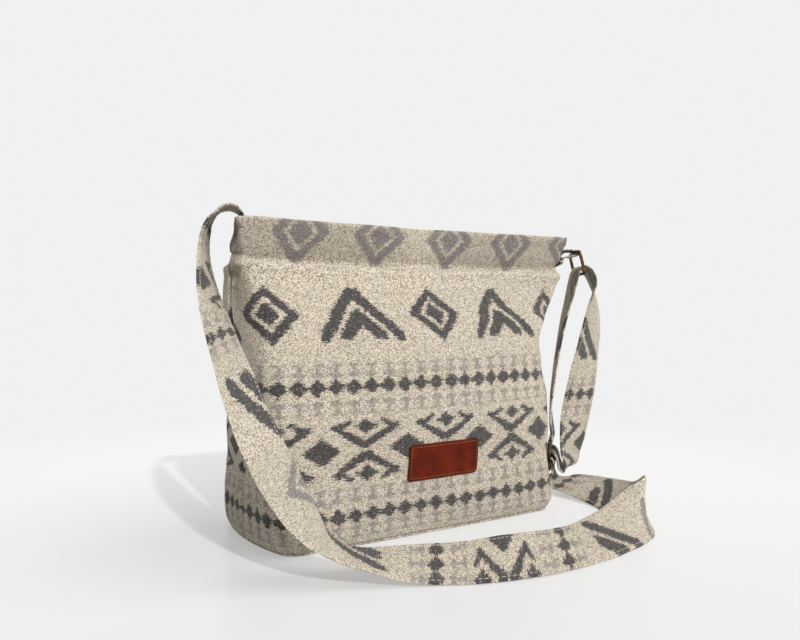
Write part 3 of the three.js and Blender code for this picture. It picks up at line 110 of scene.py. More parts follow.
STRAP_END = [
    (251.7, -13.45, 257.72, 0.578, 0.816, -0.004), (252.96, -14.33, 257.43, 0.57, 0.822, -0.009), (254.1, -15.12, 256.89, 0.561, 0.828, -0.01), (255.13, -15.82, 256.13, 0.553, 0.833, -0.007),
    (256.07, -16.45, 255.18, 0.547, 0.837, -0.002), (256.92, -17, 254.09, 0.542, 0.84, 0.003), (257.7, -17.49, 252.88, 0.54, 0.842, 0.009), (258.42, -17.93, 251.59, 0.538, 0.843, 0.013),
    (259.08, -18.33, 250.25, 0.537, 0.844, 0.017), (259.71, -18.7, 248.89, 0.536, 0.844, 0.02), (260.28, -19.03, 247.52, 0.538, 0.843, 0.022), (260.82, -19.34, 246.15, 0.542, 0.84, 0.023),
    (261.31, -19.62, 244.76, 0.547, 0.837, 0.022), (261.75, -19.87, 243.36, 0.554, 0.832, 0.019), (262.15, -20.11, 241.95, 0.561, 0.827, 0.014), (263.4, -21.09, 234.16, 0.64, 0.768, -0.026),
    (263.58, -21.73, 226.16, 0.738, 0.672, -0.059), (263.16, -22.17, 218.19, 0.808, 0.582, -0.093), (262.33, -22.49, 210.26, 0.856, 0.502, -0.125), (261.21, -22.73, 202.35, 0.885, 0.44, -0.151),
    (259.86, -22.89, 194.48, 0.906, 0.386, -0.173), (258.34, -22.99, 186.64, 0.921, 0.339, -0.19), (256.68, -23.01, 178.82, 0.932, 0.3, -0.203), (254.94, -22.98, 171.02, 0.94, 0.266, -0.213),
    (253.14, -22.91, 163.24, 0.947, 0.233, -0.219), (251.31, -22.81, 155.47, 0.954, 0.201, -0.222), (249.48, -22.69, 147.69, 0.961, 0.165, -0.224), (247.64, -22.57, 139.92, 0.965, 0.128, -0.228),
    (245.77, -22.43, 132.16, 0.967, 0.096, -0.234), (243.85, -22.29, 124.41, 0.967, 0.075, -0.242), (241.87, -22.13, 116.67, 0.967, 0.061, -0.249), (239.86, -21.98, 108.94, 0.966, 0.048, -0.252),
    (237.84, -21.85, 101.22, 0.967, 0.041, -0.251), (235.84, -21.74, 93.48, 0.968, 0.042, -0.246), (233.92, -21.7, 85.73, 0.971, 0.055, -0.233), (232.13, -21.75, 77.95, 0.974, 0.076, -0.214),
    (230.53, -21.92, 70.12, 0.977, 0.105, -0.187), (229.18, -22.03, 62.25, 0.976, 0.157, -0.149), (228.12, -21.75, 54.32, 0.971, 0.221, -0.094), (227.31, -21.15, 46.37, 0.953, 0.293, -0.08),
    (227.16, -21.08, 44.88, 0.947, 0.308, -0.089), (227, -21.06, 43.4, 0.941, 0.322, -0.102), (226.83, -21.08, 41.91, 0.934, 0.335, -0.12), (226.65, -21.16, 40.43, 0.927, 0.346, -0.142),
    (226.46, -21.31, 38.96, 0.919, 0.356, -0.167), (226.25, -21.49, 37.49, 0.91, 0.37, -0.189), (226, -21.67, 36.02, 0.897, 0.391, -0.207), (225.71, -21.8, 34.56, 0.881, 0.42, -0.219),
    (225.36, -21.83, 33.1, 0.863, 0.456, -0.218), (224.94, -21.73, 31.65, 0.844, 0.497, -0.202), (224.44, -21.45, 30.2, 0.829, 0.534, -0.167), (223.85, -20.95, 28.77, 0.815, 0.566, -0.127),
    (223.17, -20.26, 27.47, 0.795, 0.599, -0.097), (222.39, -19.41, 26.45, 0.768, 0.636, -0.068), (221.5, -18.43, 25.86, 0.739, 0.673, -0.028), (220.51, -17.38, 25.81, 0.725, 0.689, 0.016),
    (219.49, -16.32, 26.26, 0.726, 0.687, 0.031), (218.53, -15.34, 27.09, 0.728, 0.685, 0.027), (217.74, -14.53, 28.18, 0.73, 0.683, 0.018), (217.15, -13.93, 29.44, 0.729, 0.684, 0.009),
    (216.73, -13.5, 30.81, 0.726, 0.688, 0.002), (216.43, -13.18, 32.27, 0.722, 0.692, -0.001), (216.2, -12.94, 33.76, 0.72, 0.694, -0.001), (216, -12.72, 35.25, 0.719, 0.695, -0.001),
    (215.79, -12.51, 36.72, 0.719, 0.695, 0), (215.55, -12.27, 38.18, 0.719, 0.695, 0), (215.28, -11.99, 39.61, 0.719, 0.695, 0), (214.95, -11.64, 41.02, 0.719, 0.695, 0),
    (214.54, -11.22, 42.39, 0.719, 0.695, -0), (214.03, -10.69, 43.71, 0.719, 0.695, -0), (213.42, -10.05, 44.95, 0.719, 0.695, -0), (212.67, -9.29, 46.08, 0.719, 0.695, 0),
    (211.8, -8.38, 46.89, 0.719, 0.695, 0), (210.81, -7.35, 47.17, 0.719, 0.695, -0), (209.75, -6.25, 47.02, 0.719, 0.695, 0), (208.71, -5.18, 46.61, 0.719, 0.695, -0),
    (207.88, -4.32, 45.75, 0.719, 0.695, -0), (207.47, -3.89, 44.34, 0.719, 0.695, 0), (207.63, -4.07, 42.83, 0.719, 0.695, -0), (208.31, -4.76, 41.7, 0.719, 0.695, -0),
    (209.28, -5.77, 41.14, 0.719, 0.695, 0), (210.34, -6.87, 40.83, 0.719, 0.695, -0), (211.28, -7.84, 40.3, 0.719, 0.695, -0), (211.97, -8.56, 39.26, 0.719, 0.695, 0),
    (212.46, -9.06, 37.83, 0.719, 0.695, 0), (212.77, -9.39, 36.24, 0.719, 0.695, 0), (212.97, -9.6, 34.69, 0.719, 0.695, -0), (213.11, -9.74, 33.4, 0.719, 0.695, -0),
]

rng = np.random.default_rng(7)


# ------------------------------------------------------------------ helpers
def catmull(P, n):
    """n points between each pair of rows of P, plus the last one."""
    P = np.asarray(P, float)
    A = np.vstack([2 * P[0] - P[1], P, 2 * P[-1] - P[-2]])
    out = []
    for i in range(1, len(A) - 2):
        p0, p1, p2, p3 = A[i - 1], A[i], A[i + 1], A[i + 2]
        for k in range(n):
            t = k / n
            out.append(0.5 * (2 * p1 + (p2 - p0) * t + (2 * p0 - 5 * p1 + 4 * p2 - p3) * t * t + (3 * p1 - p0 - 3 * p2 + p3) * t ** 3))
    out.append(P[-1])
    return np.array(out)


def smooth_noise(x, y, cell, seed):
    """Value noise of two coordinates in mm, smooth, -1 to 1."""
    g = np.random.default_rng(seed).uniform(-1, 1, (97, 101))
    a, b = np.asarray(x) / cell, np.asarray(y) / cell
    ia, ib = np.floor(a).astype(int), np.floor(b).astype(int)
    fa, fb = a - ia, b - ib
    fa, fb = fa * fa * (3 - 2 * fa), fb * fb * (3 - 2 * fb)
    v = lambda i, j: g[i % 97, j % 101]
    return (v(ia, ib) * (1 - fa) * (1 - fb) + v(ia + 1, ib) * fa * (1 - fb) + v(ia, ib + 1) * (1 - fa) * fb + v(ia + 1, ib + 1) * fa * fb)


def make_mesh(name, verts, faces, mats, smooth=True):
    me = bpy.data.meshes.new(name)
    me.from_pydata([tuple(v) for v in (np.asarray(verts) * MM)], [], [tuple(int(i) for i in f) for f in faces])
    me.update()
    for m in mats:
        me.materials.append(m)
    if smooth:
        me.polygons.foreach_set("use_smooth", [True] * len(me.polygons))
    ob = bpy.data.objects.new(name, me)
    scene.collection.objects.link(ob)
    return ob


def point_attr(ob, name, values):
    a = ob.data.attributes.new(name, "FLOAT", "POINT")
    a.data.foreach_set("value", np.asarray(values, np.float32))


def vec_attr(ob, name, values):
    a = ob.data.attributes.new(name, "FLOAT_VECTOR", "POINT")
    a.data.foreach_set("vector", np.asarray(values, np.float32).ravel())


# ------------------------------------------------------------- cloth pattern
# The cloth repeats every 174 mm across and mirrors about the row of crosses
# and the row of large grey diamonds along its length. Lengths are mm.
PERIOD = 17.4


def sd_poly(x, y, pts):
    """Signed distance to a polygon, positive inside."""
    d = np.full(np.shape(x), 1e9)
    inside = np.zeros(np.shape(x), bool)
    n = len(pts)
    for i in range(n):
        ax, ay = pts[i]
        bx, by = pts[(i + 1) % n]
        ex, ey = bx - ax, by - ay
        t = np.clip(((x - ax) * ex + (y - ay) * ey) / (ex * ex + ey * ey + 1e-9), 0, 1)
        d = np.minimum(d, np.hypot(x - ax - t * ex, y - ay - t * ey))
        cross = ((ay > y) != (by > y)) & (x < (bx - ax) * (y - ay) / (by - ay + 1e-12) + ax)
        inside ^= cross
    return np.where(inside, d, -d)


def sd_diamond(x, y, a, b):
    k = math.hypot(1 / a, 1 / b)
    return (1 - np.abs(x) / a - np.abs(y) / b) / k


def pattern(u, v, ug=None):
    """(dark, grey, pale) signed distances in mm, positive inside a motif."""
    v = np.asarray(v, float)
    w = np.abs((v - 89 + 195) % 390 - 195)          # from the crosses' row
    ug = u if ug is None else ug
    xm = (u - 70 + 43.5) % 87 - 43.5                # from the nearest motif column
    col = np.floor((u - 70 + 43.5) / 87).astype(int) % 2   # 0 diamond, 1 chevron
    xc = (u - 6.5 + PERIOD / 2) % PERIOD - PERIOD / 2      # from the nearest chain link
    dark = np.full(np.shape(u), -9.0)
    grey = np.full(np.shape(u), -9.0)
    pale = np.full(np.shape(u), -9.0)
    # crosses with eyes
    ax = np.abs(xm)
    y = w
    arm = sd_poly(ax, y, [(-3, 1.0), (3, 1.0), (20, 11.5), (35, 20.5), (33, 23.5), (24, 24.5), (16, 28.5), (13, 26), (20, 21.5), (23, 19.5), (0, 8.8), (-3, 8.8)])
    eye = np.maximum(sd_diamond(xm, y - 21.5, 9.5, 7.5), sd_poly(ax, y, [(0, 19.5), (11, 20.5), (11, 22.5), (0, 24)]))
    dark = np.maximum(dark, np.maximum(arm, eye))
    # solid diamonds between the crosses
    xs = (u - 70) % 87 - 43.5
    dark = np.maximum(dark, sd_diamond(xs, w, 18.5, 12.5))
    # chain of small diamonds
    wc = w - 58.5
    dark = np.maximum(dark, np.maximum(sd_diamond(xc, wc, 9.0, 7.6), 0.9 - np.abs(wc)))
    # pale rows of small I shapes on both sides of the chain
    for c, h in ((39.5, 6.2), (73.5, 5.6)):
        wl = w - c
        stem = np.minimum(1.7 - np.abs(xc), h - np.abs(wl))
        serif = np.minimum(5.4 - np.abs(xc), 1.0 - np.abs(np.abs(wl) - (h - 1.0)))
        tri = sd_diamond(xc, wl - (h - 2.0 if c < 50 else 2.0 - h), 6.4, 3.4)
        pale = np.maximum(pale, np.maximum(np.maximum(stem, serif), tri))
    # large row: nested diamonds and double chevrons
    y = w - 122.5
    dia = np.maximum(np.minimum(sd_diamond(xm, y, 29.5, 25.6), -sd_diamond(xm, y, 17.4, 15.6)), sd_diamond(xm, y, 11.0, 10.6))
    out = sd_poly(ax, y, [(-4, 25.2), (4.5, 25.2), (50, -24.6), (37, -24.6), (0, 14.2), (-4, 14.2)])
    inn = sd_poly(ax, y, [(-3, 4.0), (3, 4.0), (24.5, -17.5), (24.5, -22.0), (12.5, -22.0), (0, -10.5), (-3, -10.5)])
    chev = np.maximum(out, inn)
    dark = np.maximum(dark, np.where(col == 0, dia, chev))
    # large grey nested diamonds
    y = w - 195
    xg = (ug - 70 + 43.5) % 87 - 43.5
    gd = np.maximum(np.minimum(sd_diamond(xg, y, 30, 29.5), -sd_diamond(xg, y, 18.5, 18.5)), sd_diamond(xg, y, 12.5, 12))
    grey = np.maximum(grey, gd)
    return dark, grey, pale


# --------------------------------------------------------------- materials
def new_mat(name):
    m = bpy.data.materials.new(name)
    m.use_nodes = True
    nt = m.node_tree
    nt.nodes.clear()
    out = nt.nodes.new("ShaderNodeOutputMaterial")
    bsdf = nt.nodes.new("ShaderNodeBsdfPrincipled")
    nt.links.new(bsdf.outputs[0], out.inputs[0])
    return m, nt, bsdf


class G:
    """Small helper to write node maths."""

    def __init__(self, nt):
        self.nt = nt

    def val(self, node, i, x):
        if isinstance(x, (int, float)):
            node.inputs[i].default_value = x
        else:
            self.nt.links.new(x, node.inputs[i])

    def m(self, op, a, b=0.0, c=None, clamp=False):
        n = self.nt.nodes.new("ShaderNodeMath")
        n.operation = op
        n.use_clamp = clamp
        self.val(n, 0, a)
        self.val(n, 1, b)
        if c is not None:
            self.val(n, 2, c)
        return n.outputs[0]

    def attr(self, name, kind="Fac"):
        n = self.nt.nodes.new("ShaderNodeAttribute")
        n.attribute_name = name
        return n.outputs[kind]

    def sep(self, v):
        n = self.nt.nodes.new("ShaderNodeSeparateXYZ")
        self.nt.links.new(v, n.inputs[0])
        return n.outputs

    def comb(self, x, y, z=0.0):
        n = self.nt.nodes.new("ShaderNodeCombineXYZ")
        for i, q in enumerate((x, y, z)):
            self.val(n, i, q)
        return n.outputs[0]

    def white(self, v):
        n = self.nt.nodes.new("ShaderNodeTexWhiteNoise")
        n.noise_dimensions = "3D"
        self.nt.links.new(v, n.inputs["Vector"])
        return n.outputs["Value"]

    def noise(self, v, scale, detail=2.0, rough=0.5):
        n = self.nt.nodes.new("ShaderNodeTexNoise")
        n.inputs["Scale"].default_value = scale
        n.inputs["Detail"].default_value = detail
        n.inputs["Roughness"].default_value = rough
        self.nt.links.new(v, n.inputs["Vector"])
        return n.outputs["Fac"]

    def mix(self, f, a, b):
        n = self.nt.nodes.new("ShaderNodeMix")
        n.data_type = "RGBA"
        self.val(n, 0, f)
        for i, q in ((6, a), (7, b)):
            if isinstance(q, tuple):
                n.inputs[i].default_value = (*q, 1.0)
            else:
                self.nt.links.new(q, n.inputs[i])
        return n.outputs[2]

    def ramp(self, x, lo, hi):
        n = self.nt.nodes.new("ShaderNodeMapRange")
        n.interpolation_type = "SMOOTHSTEP"
        self.val(n, 0, x)
        n.inputs[1].default_value = lo
        n.inputs[2].default_value = hi
        return n.outputs[0]


def srgb(r, g, b):
    f = lambda c: (c / 255 / 12.92) if c / 255 <= 0.04045 else ((c / 255 + 0.055) / 1.055) ** 2.4
    return (f(r), f(g), f(b))


CREAM = srgb(234, 223, 204)
CREAM_LO = srgb(148, 138, 121)
CHAR = srgb(86, 87, 92)
CHAR_LO = srgb(46, 46, 52)
GREYP = srgb(146, 139, 142)


def cloth_material(name, bump=1.0, shade=1.0, cell_u=1.1, cell_v=0.85):
    """Flat weave: staggered yarn cells in cloth millimetres, motif edges that
    follow the yarns, flecks, raised motif yarns."""
    m, nt, bsdf = new_mat(name)
    g = G(nt)
    uv = g.sep(g.attr("cloth_uv", "Vector"))
    u, v = uv[0], uv[1]
    # a little wander so that yarns aren't ruled lines
    wv = g.comb(u, v, 0.0)
    wob = g.m("MULTIPLY", g.m("SUBTRACT", g.noise(wv, 0.035, 1.0), 0.5), 2.2)
    row = g.m("DIVIDE", g.m("ADD", v, wob), cell_v)
    rid = g.m("FLOOR", row)
    stag = g.m("MULTIPLY", g.m("MODULO", rid, 2.0), 0.5)
    colm = g.m("ADD", g.m("DIVIDE", g.m("ADD", u, wob), cell_u), stag)
    cid = g.m("FLOOR", colm)
    fu = g.m("SUBTRACT", colm, cid)
    fv = g.m("SUBTRACT", row, rid)
    ids = g.comb(cid, rid, 3.0)
    rnd = g.white(ids)
    rnd2 = g.white(g.comb(cid, rid, 11.0))
    # yarn cell height: a soft pillow
    su = g.m("SINE", g.m("MULTIPLY", fu, math.pi))
    sv = g.m("SINE", g.m("MULTIPLY", fv, math.pi))
    pil = g.m("POWER", g.m("MULTIPLY", g.m("MAXIMUM", su, 0.0), g.m("MAXIMUM", sv, 0.0)), 0.6)
    # motif masks, edges stepped by the yarns
    jit = g.m("MULTIPLY", g.m("SUBTRACT", rnd, 0.5), 1.5)
    rj = g.m("MULTIPLY", g.m("SUBTRACT", g.white(g.comb(rid, g.m("FLOOR", g.m("DIVIDE", u, 4.0)), 5.0)), 0.5), 2.9)
    dk = g.ramp(g.m("ADD", g.attr("dark"), g.m("ADD", jit, rj)), -0.35, 0.35)
    gr = g.ramp(g.m("ADD", g.attr("grey"), g.m("ADD", jit, rj)), -0.5, 0.5)
    fleck = g.ramp(rnd2, 0.90, 0.94)
    dk = g.m("MULTIPLY", dk, g.m("SUBTRACT", 1.0, g.m("MULTIPLY", fleck, 0.32)))
    low = g.noise(wv, 0.22, 3.0, 0.6)
    gr = g.m("MULTIPLY", gr, g.m("SUBTRACT", 0.9, g.m("MULTIPLY", fleck, 0.5)))
    # cream with darker and lighter yarns, small shadows between yarns
    tone = g.m("ADD", g.m("MULTIPLY", rnd, 0.62), g.m("MULTIPLY", low, 0.16))
    cream = g.mix(g.ramp(tone, 0.05, 0.62), CREAM_LO, CREAM)
    fl2 = g.ramp(rnd2, 0.035, 0.02)
    cream = g.mix(g.m("MULTIPLY", fl2, 0.45), cream, CHAR)
    char = g.mix(g.ramp(tone, 0.2, 0.85), CHAR_LO, CHAR)
    col = g.mix(gr, cream, g.mix(g.ramp(tone, 0.1, 0.7), srgb(112, 106, 110), GREYP))
    pl = g.m("MULTIPLY", g.ramp(g.m("ADD", g.attr("pale"), g.m("ADD", g.m("MULTIPLY", jit, 0.6), g.m("MULTIPLY", rj, 0.35))), -0.5, 0.5), 0.62)
    col = g.mix(pl, col, g.mix(g.ramp(tone, 0.1, 0.7), srgb(112, 106, 110), GREYP))
    col = g.mix(dk, col, char)
    gap = g.m("MULTIPLY", g.ramp(pil, 0.75, 0.25), 0.5)
    col = g.mix(gap, col, srgb(92, 82, 66))
    if shade != 1.0:
        col = g.mix(1.0 - shade, col, srgb(60, 52, 42))
    # painted shade: the colour is pulled towards dark brown by 1 - painted_shade_keep (1 keeps the colour)
    col = g.mix(g.m("SUBTRACT", 1.0, g.attr("painted_shade_keep")), col, srgb(38, 30, 20))
    nt.links.new(col, bsdf.inputs["Base Color"])
    bsdf.inputs["Roughness"].default_value = 0.92
    bsdf.inputs["Specular IOR Level"].default_value = 0.18
    bsdf.inputs["Sheen Weight"].default_value = 0.12
    bsdf.inputs["Sheen Roughness"].default_value = 0.5
    b = nt.nodes.new("ShaderNodeBump")
    b.inputs["Strength"].default_value = 0.75 * bump
    b.inputs["Distance"].default_value = 0.0008
    h = g.m("ADD", g.m("MULTIPLY", pil, g.m("ADD", 0.55, g.m("MULTIPLY", rnd, 0.6))), g.m("ADD", g.m("MULTIPLY", dk, 0.55), g.m("MULTIPLY", gr, 0.35)))
    h = g.m("ADD", h, g.m("MULTIPLY", low, 0.4))
    nt.links.new(h, b.inputs["Height"])
    nt.links.new(b.outputs[0], bsdf.inputs["Normal"])
    return m


def metal_material():
    m, nt, bsdf = new_mat("antique_brass")
    g = G(nt)
    tc = nt.nodes.new("ShaderNodeTexCoord").outputs["Object"]
    n1 = g.noise(tc, 220.0, 4.0, 0.6)
    n2 = g.noise(tc, 900.0, 2.0, 0.6)
    col = g.mix(g.ramp(n1, 0.35, 0.68), srgb(50, 38, 24), srgb(126, 98, 60))
    nt.links.new(col, bsdf.inputs["Base Color"])
    bsdf.inputs["Metallic"].default_value = 1.0
    nt.links.new(g.m("ADD", 0.26, g.m("MULTIPLY", n1, 0.22)), bsdf.inputs["Roughness"])
    b = nt.nodes.new("ShaderNodeBump")
    b.inputs["Strength"].default_value = 0.12
    b.inputs["Distance"].default_value = 0.0002
    nt.links.new(n2, b.inputs["Height"])
    nt.links.new(b.outputs[0], bsdf.inputs["Normal"])
    return m


def leather_material():
    m, nt, bsdf = new_mat("patch_leather")
    g = G(nt)
    tc = nt.nodes.new("ShaderNodeTexCoord").outputs["Object"]
    n1 = g.noise(tc, 60.0, 4.0, 0.55)
    vor = nt.nodes.new("ShaderNodeTexVoronoi")
    vor.inputs["Scale"].default_value = 900.0
    nt.links.new(tc, vor.inputs["Vector"])
    edge = g.attr("edge")
    col = g.mix(g.ramp(n1, 0.3, 0.72), srgb(72, 20, 6), srgb(97, 30, 9))
    col = g.mix(g.m("MULTIPLY", edge, 0.75), col, srgb(46, 15, 8))
    nt.links.new(col, bsdf.inputs["Base Color"])
    bsdf.inputs["Roughness"].default_value = 0.6
    bsdf.inputs["Specular IOR Level"].default_value = 0.1
    b = nt.nodes.new("ShaderNodeBump")
    b.inputs["Strength"].default_value = 0.35
    b.inputs["Distance"].default_value = 0.00025
    h = g.m("ADD", vor.outputs["Distance"], g.m("MULTIPLY", g.noise(tc, 350.0, 3.0), 0.8))
    nt.links.new(h, b.inputs["Height"])
    nt.links.new(b.outputs[0], bsdf.inputs["Normal"])
    return m


def plain_material(name, rgb, rough=0.8, rib=0.0):
    m, nt, bsdf = new_mat(name)
    g = G(nt)
    tc = nt.nodes.new("ShaderNodeTexCoord").outputs["Object"]
    n = g.noise(tc, 1200.0, 3.0, 0.6)
    dark = tuple(c * 0.6 for c in rgb)
    nt.links.new(g.mix(g.ramp(n, 0.3, 0.7), dark, rgb), bsdf.inputs["Base Color"])
    bsdf.inputs["Roughness"].default_value = rough
    bsdf.inputs["Specular IOR Level"].default_value = 0.25
    b = nt.nodes.new("ShaderNodeBump")
    b.inputs["Strength"].default_value = 0.4
    b.inputs["Distance"].default_value = 0.0002
    nt.links.new(n, b.inputs["Height"])
    nt.links.new(b.outputs[0], bsdf.inputs["Normal"])
    return m


M_BODY = cloth_material("body_cloth")
M_STRAP = cloth_material("strap_cloth", bump=1.0)
M_METAL = metal_material()
M_LEATHER = leather_material()
M_THREAD = plain_material("stitch_thread", srgb(150, 98, 56), 0.8)
M_CREAMTHREAD = plain_material("seam_thread", srgb(226, 216, 196), 0.8)
M_TAPE = plain_material("zip_tape", srgb(112, 100, 84), 0.9)

# ------------------------------------------------------------------- straps
STRAP_W, STRAP_T = 48.0, 2.0
GATHER_W, GATHER_0, GATHER_1 = 26.0, 27.0, 44.0


def strap_frames(rows, sub):
    P = catmull([r[:3] for r in rows], sub)
    W = catmull([r[3:] for r in rows], sub)
    T = np.gradient(P, axis=0)
    T /= np.linalg.norm(T, axis=1)[:, None]
    W -= T * np.sum(T * W, 1)[:, None]
    W /= np.linalg.norm(W, axis=1)[:, None]
    s = np.r_[0, np.cumsum(np.linalg.norm(np.diff(P, axis=0), axis=1))]
    return P, W, np.cross(T, W), s


def resample(P, W, N, s, step):
    q = np.linspace(0, s[-1], int(s[-1] / step) + 1)
    f = lambda A: np.stack([np.interp(q, s, A[:, i]) for i in range(3)], 1)
    P, W, N = f(P), f(W), f(N)
    W /= np.linalg.norm(W, axis=1)[:, None]
    N -= W * np.sum(N * W, 1)[:, None]
    N /= np.linalg.norm(N, axis=1)[:, None]
    return P, W, N, q


def build_strap(name, rows, cloth_of, gather, seed, ends=(True, True)):
    P, W, N, s = strap_frames(rows, 6)
    P, W, N, s = resample(P, W, N, s, 1.55)
    nc = 31
    tt = np.linspace(-1, 1, nc)
    half = np.full(len(s), STRAP_W / 2)
    if gather:
        k = np.clip((s - GATHER_0) / (GATHER_1 - GATHER_0), 0, 1)
        half = (GATHER_W + (STRAP_W - GATHER_W) * k * k * (3 - 2 * k)) / 2
    S, Tt = np.meshgrid(s, tt, indexing="ij")
    Hf = half[:, None]
    # edges wander a little, the face is slightly quilted between the edge stitches
    wob = 0.35 * smooth_noise(S, Tt * 0 + 3.0, 14.0, seed)
    wob2 = 0.35 * smooth_noise(S, Tt * 0 + 31.0, 14.0, seed + 1)
    across = Tt * (Hf + np.where(Tt > 0, wob, wob2) * np.abs(Tt))
    e = 1 - np.abs(Tt)
    th = (STRAP_T / 2) * np.clip(1 - np.exp(-e * 24.0 / 0.8), 0.12, 1)
    d_edge = e * Hf
    th = th + 0.28 * np.exp(-((d_edge - 1.6) / 1.2) ** 2) - 0.22 * np.exp(-((d_edge - 3.6) / 0.8) ** 2)
    th = th + 0.12 * smooth_noise(S, across + 50, 7.0, seed + 2)
    wave = 0.5 * smooth_noise(S, across * 0.6, 38.0, seed + 3)
    fade = np.clip(np.minimum(S, s[-1] - S) / 12.0, 0, 1)
    wave = wave * fade
    C = P[:, None, :] + W[:, None, :] * across[..., None]
    top = C + N[:, None, :] * (wave + th)[..., None]
    bot = C + N[:, None, :] * (wave - th)[..., None]
    ring = np.concatenate([top, bot[:, ::-1]], 1)              # 2*nc around
    R = 2 * nc
    verts = ring.reshape(-1, 3)
    faces = []
    n = len(s)
    for i in range(n - 1):
        a = i * R
        for j in range(R):
            k = (j + 1) % R
            faces.append((a + j, a + k, a + R + k, a + R + j))
    for j in range(nc - 1):
        faces.append((j, R - 1 - j, R - 2 - j, j + 1))
        b = (n - 1) * R
        faces.append((b + j, b + j + 1, b + R - 2 - j, b + R - 1 - j))
    ob = make_mesh(name, verts, faces, [M_STRAP])
    u, v = cloth_of(S, across)
    uu = np.concatenate([u, u[:, ::-1]], 1).ravel()
    vv = np.concatenate([v, v[:, ::-1]], 1).ravel()
    dark, grey, pale = pattern(uu, vv)
    point_attr(ob, "dark", np.clip(dark, -6, 6))
    point_attr(ob, "grey", np.clip(grey, -6, 6))
    point_attr(ob, "pale", np.clip(pale, -6, 6))
    point_attr(ob, "painted_shade_keep", np.ones(len(uu)))
    vec_attr(ob, "cloth_uv", np.stack([uu, vv, uu * 0], 1))
    import bmesh
    bm = bmesh.new()
    bm.from_mesh(ob.data)
    bmesh.ops.recalc_face_normals(bm, faces=bm.faces)
    bm.to_mesh(ob.data)
    bm.free()
    return ob, (P, W, N, s, half)


def main_cloth(S, t):
    shear = np.interp(S, [0, 120, 190, 255, 330, 420, 480, 540, 590, 640, 700], [0, -0.3, -0.78, -0.3, 0, 0.0, 0.15, 0.3, 0.7, 0.3, 0])
    q = S - shear * t
    v = np.interp(q, [0, 190, 228, 296, 332, 380, 437, 471, 500, 552, 590, 626, 668, 715, 795, 838, 880, 960, 1200],
                  [-44, 146, 186, 238, 284, 338, 388, 422, 452, 506, 540, 578, 620, 674, 728, 770, 812, 892, 1132])
    u = np.where(S < 493, 130.3 + t, 178.5 + t)
    return u, v


def end_cloth(S, t):
    q = S + 0.245 * t * np.clip((S - 40) / 80, 0, 1) * np.clip((260 - S) / 40, 0, 1)
    return 181.0 + t, 303 - q


strap, STRAP_F = build_strap("strap_cloth_main", STRAP_MAIN, main_cloth, True, 21)
strap_end, END_F = build_strap("strap_cloth_end", STRAP_END, end_cloth, False, 41)


def stitches(name, P, W, N, s, inset, sides, mat, dash=3.0, gap=1.3, lift=1.06, faces_both=True, half=None, s0=0.0, s1=None, r=0.27):
    """Rows of thread dashes along a strap, near each edge."""
    V, F = [], []
    s1 = s[-1] if s1 is None else s1
    q = s0 + 2.0
    while q + dash < s1 - 2.0:
        for sd in sides:
            for fc in ((1, -1) if faces_both else (1,)):
                pts = []
                for x in np.linspace(q, q + dash, 4):
                    f = lambda A: np.array([np.interp(x, s, A[:, i]) for i in range(3)])
                    hw = np.interp(x, s, half) if half is not None else STRAP_W / 2
                    up = lift + 0.12 * math.sin(math.pi * (x - q) / dash)
                    pts.append((f(P) + f(W) * sd * (hw - inset) + f(N) * fc * up, f(W), f(N)))
                base = len(V)
                for i, (p, w, nn) in enumerate(pts):
                    rr = r * (0.55 if i in (0, 3) else 1.0)
                    for k in range(5):
                        a = 2 * math.pi * k / 5
                        V.append(p + w * rr * math.cos(a) + nn * rr * math.sin(a))
                for i in range(3):
                    for k in range(5):
                        F.append((base + i * 5 + k, base + i * 5 + (k + 1) % 5, base + (i + 1) * 5 + (k + 1) % 5, base + (i + 1) * 5 + k))
                F.append(tuple(base + k for k in range(4, -1, -1)))
                F.append(tuple(base + 15 + k for k in range(5)))
        q += dash + gap
    return make_mesh(name, V, F, [mat])


st_main = stitches("strap_stitches_main", *STRAP_F[:4], 3.6, (1, -1), M_CREAMTHREAD, half=STRAP_F[4], s0=40.0)
st_end = stitches("strap_stitches_end", *END_F[:4], 3.6, (1, -1), M_CREAMTHREAD, s1=END_F[3][-1])

# --------------------------------------------------------------------- body
LEVELS = np.array([
    [0, -150, -70, 150, -70, 150, 70, -150, 70, 1, 6, 1, 10],
    [14, -155, -75, 155, -75, 155, 75, -154, 75, 2, 6, 2, 8],
    [36, -157, -76, 153, -75, 156, 74, -155, 74, 6, 5, 6, 7],
    [60, -157, -75, 150, -72, 155, 70, -155, 68, 9, 5, 9, 8],
    [90, -159, -74, 154, -70, 157, 66, -157, 62, 11, 6, 10, 8],
    [114, -161, -72, 155, -68, 160, 63, -158, 58, 12, 6, 10, 8],
    [145, -164, -68, 152, -60, 166, 60, -161, 54, 12, 5, 10, 8],
    [173, -166, -62, 151, -53, 174, 57, -163, 50, 12, 4, 9, 7],
    [200, -169, -55, 170, -42, 190, 52, -165, 46, 12, 5, 9, 7],
    [223, -171, -47, 188, -33, 204, 46, -166, 42, 11, 5, 8, 6],
    [244, -173, -37, 203, -28, 218, 39, -165, 36, 9, 3, 7, 4],
    [257, -174, -29, 212, -23, 228, 34, -162, 31, 2, 2, 2, 2],
    [270, -175, -26, 219, -20, 235, 33, -160, 29, 3, 1, 2, 1],
    [290, -175, -21, 225, -15, 242, 32, -157, 26, 1, 0, 1, 0],
], float)
NF, NS = 200, 60
NALL = 2 * (NF + NS)
SEAM = NF + NS
RIM_SAG = 3.5


